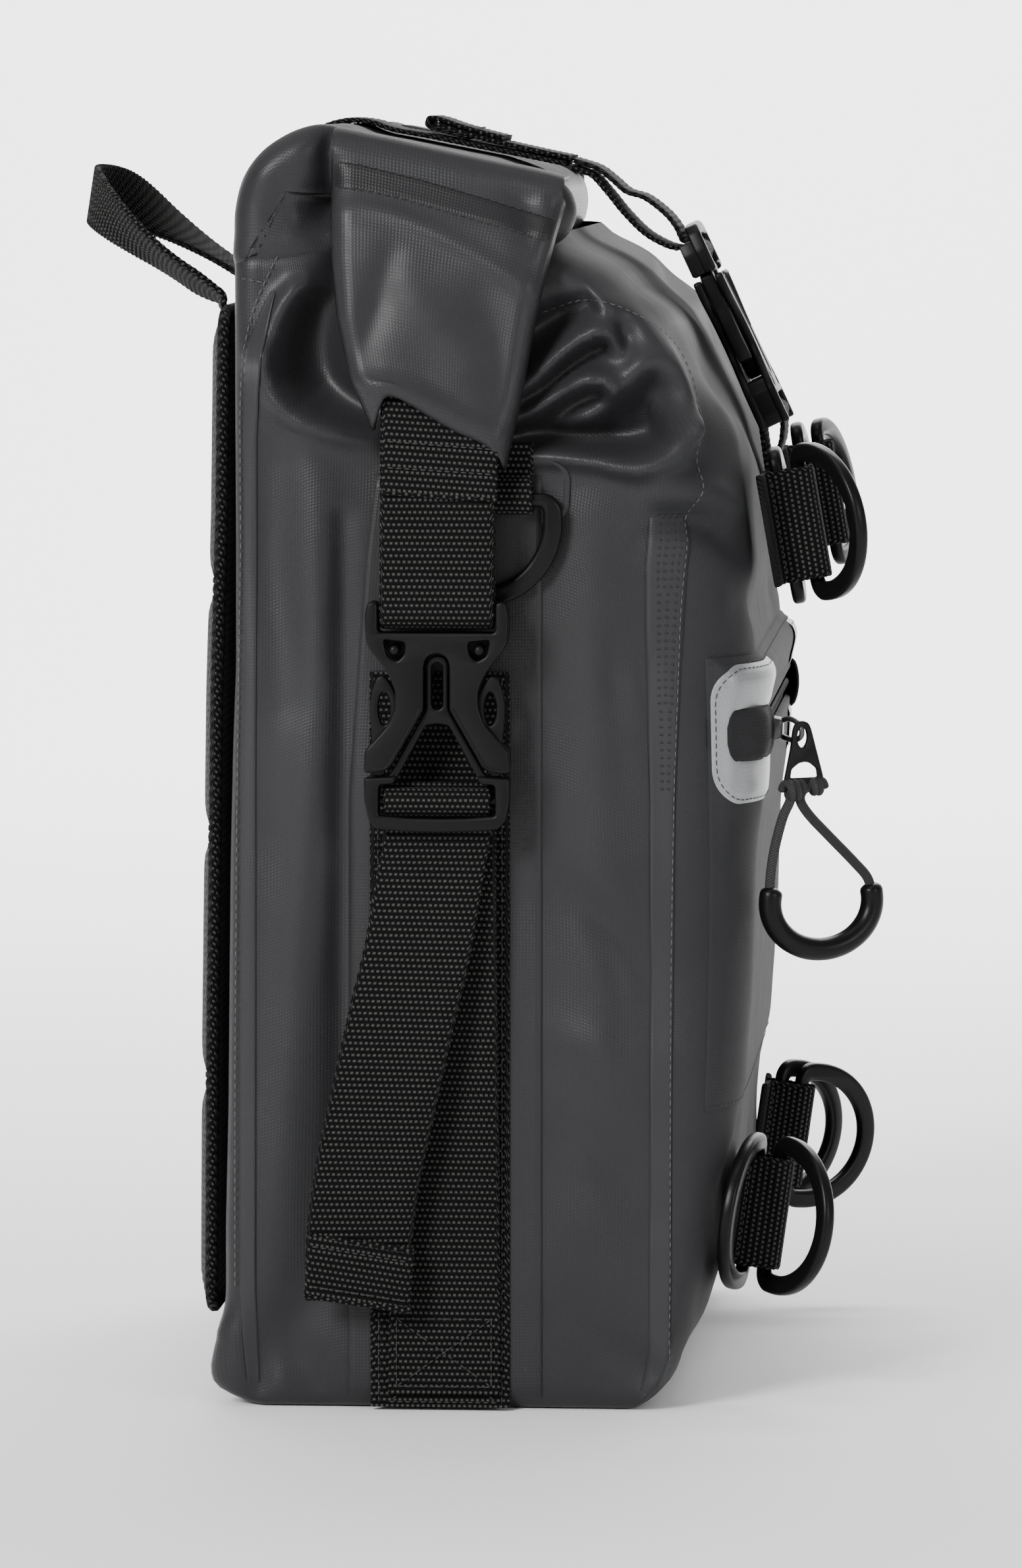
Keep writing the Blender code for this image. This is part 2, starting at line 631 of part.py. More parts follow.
def add_pull(plastic, cord_cloth):
    """The zip's hanging pull: a tab, a cord and a moulded grip, in one upright plane."""
    place = Matrix.Translation(Vector(PULL_TOP) * MM) @ Matrix.Rotation(PULL_TURN, 4, "Z")
    tab_edge = [(4.6, -23), (7.6, -21.5), (7.2, -8), (3.6, 0.8), (0.6, 0.8), (-0.8, -7), (-0.8, -21.5)]
    top_hole = arc((2.4, -3.6), (1.3, 1.6), 0, 315, 7)
    low_hole = arc((3.4, -17.5), (2.2, 3.2), 0, 315, 7)
    put("zip_pull_tab", plate([tab_edge, top_hole, low_hole], -0.9, 0.9), plastic, place)
    cord = [(-9.5, -60.6), (-8.6, -52), (-5.8, -42), (-2, -33.5), (0.6, -29), (3.4, -26.6)]
    cord += [(6.4, -28.6), (10.4, -33.5), (17, -40.5), (22.6, -47.5), (25.4, -55), (26.3, -60.6)]
    put("zip_pull_cord", tube([(x, 0, z) for x, z in cord], 1.7), cord_cloth, place)
    bend = arc((8.4, -64), (18.2, 18.2), 170, 370, 12)
    put("zip_pull_grip", tube([(x, 0, z) for x, z in bend], 3.9), plastic, place)


def build():
    start()
    tarpaulin = material("tarpaulin", (0.045, 0.046, 0.05), 0.55)
    webbing = material("webbing", (0.012, 0.012, 0.013), 0.85)
    plastic = material("buckle_plastic", (0.014, 0.014, 0.015), 0.42)
    pad_cloth = material("pad_cloth", (0.03, 0.031, 0.034), 0.9)
    board = material("stiffener_board", (0.05, 0.05, 0.05), 0.6)
    zip_cloth = material("zip_cloth", (0.015, 0.015, 0.016), 0.7)
    trim = material("reflective_trim", (0.42, 0.43, 0.44), 0.4)

    put("bag_shell", shell(), tarpaulin)
    add_back(pad_cloth, webbing, board)
    add_pocket(tarpaulin, zip_cloth, plastic, trim)
    add_roll(tarpaulin, board)
    add_front_strap(webbing)
    for side in (RIGHT, LEFT):
        add_side_webbing(side, webbing, tarpaulin)
    add_buckles(plastic)
    add_rings(plastic, webbing)


build()
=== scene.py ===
"""The looks of a roll-top pannier bag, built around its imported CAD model.

Lengths in this file are millimetres, and MM turns them into the metres of the scene; those of the
materials and the studio are metres. The frame is the CAD model's: the bag's outer front faces +X,
its padded back faces -X, Y runs across its width and +Z is up. The side at -Y is called right and
the side at +Y left.
"""

import functools
import math

import bmesh
import bpy
import numpy as np
from mathutils import Matrix, Vector


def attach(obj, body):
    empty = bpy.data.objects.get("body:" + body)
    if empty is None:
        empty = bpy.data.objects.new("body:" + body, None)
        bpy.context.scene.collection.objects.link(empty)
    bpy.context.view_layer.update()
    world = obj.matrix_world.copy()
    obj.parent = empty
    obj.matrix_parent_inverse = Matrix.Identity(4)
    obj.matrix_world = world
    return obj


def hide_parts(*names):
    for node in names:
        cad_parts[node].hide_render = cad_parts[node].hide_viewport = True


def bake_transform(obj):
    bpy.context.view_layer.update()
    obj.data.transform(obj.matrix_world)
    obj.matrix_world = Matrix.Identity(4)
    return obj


MM = 0.001
RIGHT, LEFT = -1, 1
SIDE_NAMES = {RIGHT: "right", LEFT: "left"}

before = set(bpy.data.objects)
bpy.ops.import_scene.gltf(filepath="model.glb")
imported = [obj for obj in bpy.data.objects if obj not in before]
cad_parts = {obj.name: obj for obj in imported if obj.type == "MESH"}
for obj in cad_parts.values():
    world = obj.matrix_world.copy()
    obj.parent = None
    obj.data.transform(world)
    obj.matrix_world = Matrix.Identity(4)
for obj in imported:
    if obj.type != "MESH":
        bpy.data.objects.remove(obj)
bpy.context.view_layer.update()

# Camera at the photograph's viewing angle
CAMERA_TARGET = Vector((0.013, 0, 0.199))
CAMERA_DISTANCE = 2.9
CAMERA_AZIMUTH = math.radians(4)
CAMERA_ELEVATION = math.radians(4.8)
CAMERA_LENS = 188.5

WORLD_STRENGTH = 0.42
# Name, place, what it points at, size and power of each soft box
STUDIO_LIGHTS = (
    ("key", (-1.3, -2.4, 1.5), (0, 0, 0.2), 0.8, 92),
    ("fill", (2.2, -2.2, 0.9), (0, 0, 0.2), 0.9, 22),
    ("top", (-0.3, -0.5, 2.6), (0, 0, 0.2), 1.1, 12),
    ("rim", (1.3, 1.9, 1.2), (0, 0, 0.2), 1.0, 6),
    ("wall", (0, 2.2, 3.0), (0, 4.0, 0.8), 2.6, 330),
)

# Body of the bag
HALF_WIDTH = 148.0
BACK_CORNER = 8.0
FRONT_CORNER = 38.0
# Height, back face, where the front corner starts, and front face of each section
STATIONS = (
    (0, -67, 63, 69), (3, -71, 68, 73), (8, -73, 72, 78), (25, -74, 77, 86.5),
    (60, -74, 77, 94.5), (100, -73, 77, 99), (145, -72.5, 76.5, 102), (185, -72, 76, 103),
    (225, -71, 74, 103.6), (250, -70, 72, 104), (280, -70, 70, 103.8), (300, -70, 66, 101.5),
    (313, -70, 68, 99.5), (330, -70, 69, 95), (343, -70, 66, 89), (358, -70, 59, 82),
    (371, -70, 51, 74), (382, -70, 40, 62), (390, -70, 26, 46), (396, -68, 14, 32),
)

# Webbing and buckles
WEB = 38.0
WEB_THICK = 1.8
RIB = 2.1  # from one weft of the webbing to the next
BUCKLE_LENGTH = 76.8
BUCKLE_PLANE = 164.8
SIDE_BUCKLE_Z = 235.6
FRONT_BUCKLE = (91.0, 0.0, 361.0)
FRONT_BUCKLE_LEAN = math.radians(25)
PLUG_BAR = 66.9
SOCKET_BAR = 4.25
SOCKET_THICK = 5.5
FRAME_THICK = 4.5
ARM_LAYER = 2.4


# ---- Materials ----

SCRIM_PITCH = 0.0011  # between the threads inside the coated fabric
WARP_PITCH = 0.00175  # between the warp threads of the webbing
MESH_PITCH = 0.0030  # between the holes of the spacer mesh
CELL_PITCH = 0.0016  # between the cells of the reflective film
BRAID_PITCH = 0.0014  # between the strands of the cord


class Nodes:
    """Short ways to make and join a material's nodes."""

    def __init__(self, name):
        self.material = bpy.data.materials.new(name)
        self.material.use_nodes = True
        self.tree = self.material.node_tree
        self.shader = self.tree.nodes["Principled BSDF"]

    def add(self, kind, inputs=(), **settings):
        node = self.tree.nodes.new(kind)
        for key, value in settings.items():
            setattr(node, key, value)
        for key, value in dict(inputs).items():
            self.join(value, node.inputs[key])
        return node

    def join(self, value, socket):
        if isinstance(value, bpy.types.NodeSocket):
            self.tree.links.new(value, socket)
        else:
            socket.default_value = value

    def math(self, operation, a, b=0.0, c=0.0):
        node = self.add("ShaderNodeMath", operation=operation)
        for value, socket in zip((a, b, c), node.inputs):
            self.join(value, socket)
        return node.outputs[0]

    def uv(self):
        split = self.add("ShaderNodeSeparateXYZ", {0: self.add("ShaderNodeUVMap").outputs[0]})
        return split.outputs[0], split.outputs[1]

    def wave(self, value, pitch):
        """0 to 1 and back over each pitch of a length in metres."""
        turns = self.math("MULTIPLY", value, 2 * math.pi / pitch)
        return self.math("MULTIPLY_ADD", self.math("SINE", turns), 0.5, 0.5)

    def noise(self, scale, detail):
        place = self.add("ShaderNodeTexCoord").outputs["Object"]
        inputs = {"Scale": scale, "Detail": detail, "Vector": place}
        return self.add("ShaderNodeTexNoise", inputs).outputs[0]

    def mix(self, share, dark, light):
        node = self.add("ShaderNodeMix", data_type="RGBA")
        self.join(share, node.inputs[0])
        self.join((*dark, 1.0), node.inputs[6])
        self.join((*light, 1.0), node.inputs[7])
        return node.outputs[2]

    def ramp(self, value, low, high):
        """0 at or below low and 1 at or above high."""
        inputs = {0: value, 1: low, 2: high, 3: 0.0, 4: 1.0}
        return self.add("ShaderNodeMapRange", inputs, clamp=True).outputs[0]

    def between(self, value, low, high):
        """Low where the value is 0 and high where it is 1."""
        inputs = {0: value, 1: 0.0, 2: 1.0, 3: low, 4: high}
        return self.add("ShaderNodeMapRange", inputs).outputs[0]

    def bump(self, height, distance, strength, under=None):
        inputs = {"Height": height, "Distance": distance, "Strength": strength}
        if under is not None:
            inputs["Normal"] = under
        return self.add("ShaderNodeBump", inputs).outputs[0]

    def finish(self, colour, roughness, normal=None, **constants):
        if not isinstance(colour, bpy.types.NodeSocket):
            colour = (*colour, 1.0)
        self.join(colour, self.shader.inputs["Base Color"])
        self.join(roughness, self.shader.inputs["Roughness"])
        if normal is not None:
            self.join(normal, self.shader.inputs["Normal"])
        for key, value in constants.items():
            self.shader.inputs[key.replace("_", " ")].default_value = value
        return self.material


def tarpaulin_material(name, dark, light, weave=1.0):
    """Coated fabric: satin, with its woven scrim showing faintly through the coating."""
    n = Nodes(name)
    u, v = n.uv()
    threads = n.math("MULTIPLY", n.wave(u, SCRIM_PITCH), n.wave(v, SCRIM_PITCH))
    patch = n.ramp(n.noise(28.0, 2.0), 0.42, 0.66)
    grain = n.math("MULTIPLY", threads, n.between(patch, 0.35, 1.0))
    cloud = n.noise(9.0, 4.0)
    fine = n.noise(1400.0, 2.0)
    shade = n.math("MULTIPLY_ADD", grain, 0.42 * weave, n.between(cloud, 0.08, 0.6))
    colour = n.mix(shade, dark, light)
    scuff = n.ramp(n.noise(60.0, 5.0), 0.5, 0.72)
    roughness = n.math("MULTIPLY_ADD", scuff, 0.07, n.between(fine, 0.37, 0.45))
    where = n.add("ShaderNodeTexCoord")
    forward = n.add("ShaderNodeSeparateXYZ", {0: where.outputs["Object"]}).outputs[0]
    upward = n.add("ShaderNodeSeparateXYZ", {0: where.outputs["Normal"]}).outputs[2]
    worn = n.math("MAXIMUM", n.ramp(forward, 0.062, 0.092), n.ramp(upward, 0.3, 0.75))
    roughness = n.math("MULTIPLY_ADD", worn, 0.36, roughness)
    normal = n.bump(grain, 0.0001 * weave, 0.8)
    normal = n.bump(n.noise(180.0, 3.0), 0.00025, 0.22, normal)
    return n.finish(colour, roughness, normal, Specular_IOR_Level=0.24)


def webbing_material(name, dark, light):
    """Woven polyester: rows of weft with small stitches of warp over them, the warp's tops painted
    lighter as a painted highlight.
    """
    n = Nodes(name)
    u, v = n.uv()
    row = n.math("DIVIDE", v, RIB * MM)
    ridge = n.wave(row, 1.0)
    shift = n.math("MULTIPLY", n.math("FLOOR", n.math("MODULO", row, 2.0)), 0.5)
    dash = n.wave(n.math("ADD", n.math("DIVIDE", u, WARP_PITCH), shift), 1.0)
    # the warp's raised tops: the bump lifts them, and the colour paints a highlight on them
    warp_tops_and_highlight = n.math("MULTIPLY", n.ramp(ridge, 0.35, 0.95), n.ramp(dash, 0.18, 0.7))
    fibre = n.noise(2600.0, 2.0)
    height = n.math("ADD", n.math("MULTIPLY", ridge, 0.6), n.math("MULTIPLY", warp_tops_and_highlight, 0.4))
    shade = n.math("MULTIPLY", warp_tops_and_highlight, n.between(fibre, 0.25, 1.15))
    # painted highlight: the warp tops take the light colour
    colour = n.mix(shade, dark, light)
    normal = n.bump(height, 0.00055, 0.9)
    normal = n.bump(fibre, 0.00012, 0.5, normal)
    gloss = {"Sheen_Weight": 0.02, "Sheen_Roughness": 0.4, "Specular_IOR_Level": 0.08}
    return n.finish(colour, 0.78, normal, **gloss)


def plastic_material(name, dark, light, rough):
    """Moulded plastic with a fine grain."""
    n = Nodes(name)
    grain = n.noise(2300.0, 3.0)
    cloud = n.noise(45.0, 3.0)
    colour = n.mix(cloud, dark, light)
    roughness = n.math("MULTIPLY_ADD", cloud, 0.12, rough)
    return n.finish(colour, roughness, n.bump(grain, 0.00006, 0.5), Specular_IOR_Level=0.15)


def pad_material(name):
    """Knitted spacer mesh: rows of small holes, each row shifted half a hole from the last."""
    n = Nodes(name)
    u, v = n.uv()
    packed = 0.866  # the rows' distance as a share of the holes' distance
    row = n.math("DIVIDE", v, MESH_PITCH * packed)
    parity = n.math("FLOOR", n.math("MODULO", n.math("ABSOLUTE", row), 2.0))
    shift = n.math("MULTIPLY", parity, 0.5)
    column = n.math("ADD", n.math("DIVIDE", u, MESH_PITCH), shift)
    across = n.math("SUBTRACT", n.math("FRACT", column), 0.5)
    up = n.math("MULTIPLY", n.math("SUBTRACT", n.math("FRACT", row), 0.5), packed)
    away = n.math("SQRT", n.math("ADD", n.math("POWER", across, 2.0), n.math("POWER", up, 2.0)))
    # the holes get the near-black colour below: painted shade inside each hole, as the sheet itself
    # has no openings
    cloth = n.ramp(away, 0.16, 0.34)
    fibre = n.noise(1800.0, 2.0)
    shade = n.math("MULTIPLY", cloth, n.between(fibre, 0.55, 1.05))
    colour = n.mix(shade, (0.005, 0.005, 0.0055), (0.050, 0.051, 0.054))
    normal = n.bump(cloth, 0.0006, 0.8)
    gloss = {"Sheen_Weight": 0.06, "Sheen_Roughness": 0.5, "Specular_IOR_Level": 0.15}
    return n.finish(colour, 0.85, normal, **gloss)


def reflective_material(name):
    """Pale grey film of small cells."""
    n = Nodes(name)
    u, v = n.uv()
    cells = n.math("MULTIPLY", n.wave(u, CELL_PITCH), n.wave(v, CELL_PITCH))
    shade = n.math("MULTIPLY_ADD", cells, 0.25, n.noise(70.0, 4.0))
    colour = n.mix(shade, (0.17, 0.175, 0.18), (0.29, 0.295, 0.30))
    return n.finish(colour, 0.38, n.bump(cells, 0.00004, 0.6), Metallic=0.25)


def cord_material(name):
    """Braided cord."""
    n = Nodes(name)
    u, v = n.uv()
    one = n.wave(n.math("ADD", u, n.math("MULTIPLY", v, 1.4)), BRAID_PITCH)
    other = n.wave(n.math("SUBTRACT", u, n.math("MULTIPLY", v, 1.4)), BRAID_PITCH)
    braid = n.math("MAXIMUM", one, other)
    colour = n.mix(n.math("POWER", braid, 3.0), (0.006, 0.006, 0.006), (0.045, 0.045, 0.046))
    return n.finish(colour, 0.7, n.bump(braid, 0.0003, 0.8), Specular_IOR_Level=0.3)


def thread_material(name, colour):
    """Twisted sewing thread."""
    n = Nodes(name)
    shade = n.mix(n.noise(900.0, 2.0), tuple(c * 0.6 for c in colour), colour)
    return n.finish(shade, 0.65, n.bump(n.noise(1500.0, 2.0), 0.0001, 0.4))


def metal_material(name):
    """Dark plated metal."""
    n = Nodes(name)
    colour = n.mix(n.noise(300.0, 3.0), (0.05, 0.05, 0.052), (0.12, 0.12, 0.125))
    return n.finish(colour, n.between(n.noise(90.0, 3.0), 0.26, 0.38), Metallic=0.9)


FABRIC = tarpaulin_material("coated_fabric", (0.0112, 0.0112, 0.0122), (0.03, 0.03, 0.0326))
FABRIC_DARK = tarpaulin_material(
    "coated_fabric_tape", (0.006, 0.006, 0.0066), (0.016, 0.016, 0.0176), 1.5
)
FABRIC_LIGHT = tarpaulin_material("seam_tape", (0.015, 0.015, 0.0162), (0.039, 0.039, 0.042), 0.7)
# the light colour here is the painted highlight on the tops of the warp
WEBBING = webbing_material("woven_webbing", (0.002, 0.002, 0.002), (0.078, 0.077, 0.073))
PLASTIC = plastic_material(
    "moulded_plastic", (0.0028, 0.0028, 0.0029), (0.0052, 0.0052, 0.0053), 0.33
)
RING_PLASTIC = plastic_material(
    "ring_plastic", (0.003, 0.0029, 0.0029), (0.0052, 0.005, 0.005), 0.26
)
PAD_CLOTH = pad_material("spacer_mesh")
TRIM = reflective_material("reflective_film")
CORD = cord_material("braided_cord")
THREAD = thread_material("black_thread", (0.02, 0.02, 0.02))
SEAM_THREAD = thread_material("seam_thread", (0.10, 0.10, 0.103))
METAL = metal_material("dark_metal")


# ---- Curves and meshes ----


def unit(vectors):
    """The vectors with a length of 1."""
    return vectors / np.linalg.norm(vectors, axis=-1, keepdims=True)


def lengths_along(points):
    """How far along a broken line each of its points is."""
    return np.r_[0, np.cumsum(np.linalg.norm(np.diff(points, axis=0), axis=1))]


def moved(matrix, point):
    """A point in millimetres moved by a matrix that is in metres."""
    return matrix @ (Vector(point) * MM) / MM


def even(points, step):
    """Points at even distances along a broken line."""
    lengths = lengths_along(points)
    count = max(2, int(round(lengths[-1] / step)) + 1)
    at = np.linspace(0, lengths[-1], count)
    return np.stack([np.interp(at, lengths, points[:, k]) for k in range(points.shape[1])], 1)


def through(points, step):
    """Points at even distances along a smooth curve through the given points."""
    p = np.array(points, float)
    p = np.vstack([2 * p[0] - p[1], p, 2 * p[-1] - p[-2]])
    t = np.linspace(0, 1, 20, endpoint=False)[:, None]
    runs = []
    for a, b, c, d in zip(p, p[1:], p[2:], p[3:]):
        cubic = (3 * b - a - 3 * c + d) * t**3
        runs.append(0.5 * (2 * b + (c - a) * t + (2 * a - 5 * b + 4 * c - d) * t * t + cubic))
    return even(np.vstack(runs + [p[-2:-1]]), step)


def arc(centre, radii, first, last, steps):
    """Points of an arc of an ellipse, from one angle in degrees to another."""
    turns = np.radians(np.linspace(first, last, steps + 1))
    return [(centre[0] + radii[0] * math.cos(t), centre[1] + radii[1] * math.sin(t)) for t in turns]


def smoothed(low, high, value):
    """0 to 1 with no sharp bend, as a value goes from low to high."""
    share = np.clip((np.asarray(value, float) - low) / (high - low), 0, 1)
    return share * share * (3 - 2 * share)


def distances(points, axis):
    """How far along its row or column each point of a grid is."""
    steps = np.linalg.norm(np.diff(points, axis=axis), axis=2)
    return np.cumsum(np.concatenate([np.zeros_like(steps.take([0], axis)), steps], axis), axis)


def cell_corners(grid):
    """The four corners of each cell of a grid, in their order round it."""
    return np.stack([grid[:-1, :-1], grid[:-1, 1:], grid[1:, 1:], grid[1:, :-1]], 2)


def grid_mesh(name, points, wrap=False, cap_low=False, cap_high=False):
    """A mesh over rows and columns of points, with a UV map that measures it in metres."""
    points = np.asarray(points, float)
    rows, columns = points.shape[:2]
    around = np.concatenate([points, points[:, :1]], 1) if wrap else points
    u = distances(around, 1) * MM
    u = np.broadcast_to(u.mean(0), u.shape)
    v = distances(around, 0) * MM
    mesh = bpy.data.meshes.new(name)
    index = np.arange(rows * columns).reshape(rows, columns)
    across = np.concatenate([index, index[:, :1]], 1) if wrap else index
    faces = cell_corners(across).reshape(-1, 4).tolist()
    places = np.stack([u, v], -1)
    corners = cell_corners(places).reshape(-1, 2)
    if cap_low:
        faces.append(index[0, ::-1].tolist())
        corners = np.concatenate([corners, places[0, columns - 1 :: -1]])
    if cap_high:
        faces.append(index[-1].tolist())
        corners = np.concatenate([corners, places[-1, :columns]])
    mesh.from_pydata((points.reshape(-1, 3) * MM).tolist(), [], faces)
    layer = mesh.uv_layers.new(name="UVMap")
    layer.data.foreach_set("uv", np.ascontiguousarray(corners, float).ravel())
    mesh.shade_smooth()
    return mesh


def object_from(data, finish=None, name=None):
    """An object in the scene from a mesh, a curve, a light or a camera."""
    if finish:
        data.materials.append(finish)
    made = bpy.data.objects.new(name or data.name, data)
    bpy.context.scene.collection.objects.link(made)
    return made


def baked(obj):
    """The object with its modifiers applied and its place in its mesh."""
    bpy.context.view_layer.update()
    graph = bpy.context.evaluated_depsgraph_get()
    mesh = bpy.data.meshes.new_from_object(obj.evaluated_get(graph))
    mesh.transform(obj.matrix_world)
    name = obj.name
    finish = list(obj.data.materials)
    bpy.data.objects.remove(obj)
    mesh.name = name
    if not mesh.materials:
        for one in finish:
            mesh.materials.append(one)
    return object_from(mesh, name=name)


def placed(obj, matrix):
    """The object moved by a matrix, with its place in its mesh."""
    obj.matrix_world = matrix
    return baked(obj)


def thickened(obj, thickness):
    """A sheet given a thickness, half of it on each side."""
    solid = obj.modifiers.new("thickness", "SOLIDIFY")
    solid.thickness = thickness * MM
    solid.offset = 0.0
    return baked(obj)


def joined(name, objects):
    """One object from several."""
    bm = bmesh.new()
    finishes = []
    for obj in objects:
        offset = len(finishes)
        finishes += list(obj.data.materials)
        first = len(bm.faces)
        bm.from_mesh(obj.data)
        bm.faces.ensure_lookup_table()
        for face in bm.faces[first:]:
            face.material_index += offset
    mesh = bpy.data.meshes.new(name)
    bm.to_mesh(mesh)
    bm.free()
    for finish in finishes:
        mesh.materials.append(finish)
    for obj in objects:
        bpy.data.objects.remove(obj)
    return object_from(mesh, name=name)


def settle(obj, body, nodes=()):
    """Puts a piece on its body, in place of its CAD nodes."""
    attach(obj, body)
    if nodes:
        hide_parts(*nodes)
    return obj


def band(name, path, across, width=WEB, thickness=WEB_THICK):
    """Webbing along a path: across is its width's direction, one for all points or one for each."""
    path = np.asarray(path, float)
    across = unit(np.broadcast_to(np.asarray(across, float), path.shape))
    normal = unit(np.cross(unit(np.gradient(path, axis=0)), across))
    wave = np.cos(2 * math.pi * lengths_along(path) / RIB)
    half, thin = width / 2, thickness / 2
    spots = [-1, -0.985, -0.94, -0.6, -0.2, 0.2, 0.6, 0.94, 0.985, 1]
    rise = [0.45, 0.8, 1, 1, 1, 1, 1, 1, 0.8, 0.45]
    ring = [(s * half, r * thin, 1) for s, r in zip(spots, rise)]
    ring += [(s * half, -r * thin, -1) for s, r in zip(spots[::-1], rise[::-1])]
    points = np.zeros((len(path), len(ring), 3))
    for k, (aside, up, face) in enumerate(ring):
        edge = np.where(abs(aside) > 0.95 * half, np.sign(aside) * 0.16 * wave, 0.0)
        depth = up + face * 0.10 * wave * thickness / WEB_THICK
        points[:, k] = path + across * (aside + edge)[:, None] + normal * depth[:, None]
    mesh = grid_mesh(name, points, wrap=True, cap_low=True, cap_high=True)
    return object_from(mesh, WEBBING)


def rod(name, path, radius, finish, sides=12):
    """A round rod along a path, with rounded ends. Its radius is one number, or one
    for each point."""
    path = np.asarray(path, float)
    tangent = unit(np.gradient(path, axis=0))
    side = np.cross(tangent, (0.0, 0.0, 1.0) if abs(tangent[0][2]) < 0.9 else (0.0, 1.0, 0.0))
    for k in range(len(path)):
        if k:
            side[k] = side[k - 1] - tangent[k] * (side[k - 1] @ tangent[k])
        side[k] = unit(side[k])
    up = np.cross(tangent, side)
    radius = np.broadcast_to(np.asarray(radius, float), (len(path),))
    turns = np.linspace(0, 2 * math.pi, sides, endpoint=False)
    turns = turns[None, :, None]
    circle = np.cos(turns) * side[:, None] + np.sin(turns) * up[:, None]
    points = path[:, None] + circle * radius[:, None, None]
    caps = []
    for end, way in ((0, -1), (-1, 1)):
        rings = []
        for turn in (25, 50, 75):
            out = radius[end] * math.sin(math.radians(turn)) * 0.6
            small = radius[end] * math.cos(math.radians(turn))
            rings.append(path[end] + circle[end] * small + way * tangent[end] * out)
        caps.append(np.array(rings))
    points = np.concatenate([caps[0][::-1], points, caps[1]])
    return object_from(grid_mesh(name, points, wrap=True, cap_low=True, cap_high=True), finish)


def moulding(name, outlines, low, high, finish, rounding, matrix):
    """A plate in X and Z between two Y, with rounded edges. The first outline is its edge and the
    others are holes."""
    curve = bpy.data.curves.new(name, "CURVE")
    curve.dimensions = "2D"
    curve.fill_mode = "BOTH"
    curve.extrude = ((high - low) / 2 - rounding) * MM
    curve.bevel_depth = rounding * MM
    curve.bevel_resolution = 2
    curve.offset = -rounding * MM
    for outline in outlines:
        spline = curve.splines.new("POLY")
        spline.points.add(len(outline) - 1)
        for point, (x, z) in zip(spline.points, outline):
            point.co = (x * MM, z * MM, 0, 1)
        spline.use_cyclic_u = True
    middle = Matrix.Translation((0, (low + high) / 2 * MM, 0))
    stood = middle @ Matrix.Rotation(math.radians(90), 4, "X")
    made = placed(object_from(curve, name=name), matrix @ stood)
    bm = bmesh.new()
    bm.from_mesh(made.data)
    bmesh.ops.remove_doubles(bm, verts=bm.verts, dist=0.000005)
    bmesh.ops.recalc_face_normals(bm, faces=bm.faces)
    bm.to_mesh(made.data)
    bm.free()
    made.data.materials.clear()
    made.data.materials.append(finish)
    made.data.shade_smooth()
    made.data.set_sharp_from_angle(angle=math.radians(38))
    return made


def rounded(outline, radius):
    """A closed outline with its corners rounded, except at the ends of a very short edge."""
    points = [Vector(p) for p in outline]
    made = []
    for k, corner in enumerate(points):
        before, after = points[k - 1] - corner, points[(k + 1) % len(points)] - corner
        if min(before.length, after.length) < 0.05:
            made.append(tuple(corner))
            continue
        reach = min(radius, 0.45 * before.length, 0.45 * after.length)
        start, end = corner + before.normalized() * reach, corner + after.normalized() * reach
        for t in (0, 0.25, 0.5, 0.75, 1):
            made.append(tuple(start * (1 - t) ** 2 + corner * 2 * t * (1 - t) + end * t * t))
    return made


def stitches(path, out, pitch, length, radius, finish=THREAD):
    """A row of thread stitches along a path, raised in the direction out."""
    path = even(np.asarray(path, float), pitch)
    out = unit(np.asarray(out, float))
    # place along a stitch and how full it is there, as shares of its length and radius
    shape = ((-0.5, 0.0), (-0.42, 0.75), (0.0, 1.0), (0.42, 0.75), (0.5, 0.0))
    sides = 5
    verts, faces = [], []
    for a, b in zip(path, path[1:]):
        middle, way = (a + b) / 2, unit(b - a)
        aside = np.cross(way, out)
        base = len(verts)
        for share, wide in shape:
            centre = middle + way * share * length + out * radius * (0.2 + 0.5 * wide)
            reach = radius * max(wide, 0.15)
            for turn in range(sides):
                angle = 2 * math.pi * turn / sides
                spot = aside * reach * math.cos(angle) + out * reach * math.sin(angle)
                verts.append(centre + spot)
        last = len(verts) - sides
        for low in range(base, last, sides):
            for turn in range(sides):
                follow, high = (turn + 1) % sides, low + sides
                faces.append((low + turn, low + follow, high + follow, high + turn))
        faces.append(tuple(reversed(range(base, base + sides))))
        faces.append(tuple(range(last, last + sides)))
    mesh = bpy.data.meshes.new("stitches")
    mesh.from_pydata((np.array(verts) * MM).tolist(), [], faces)
    mesh.shade_smooth()
    return object_from(mesh, finish)


# ---- Body of the bag ----

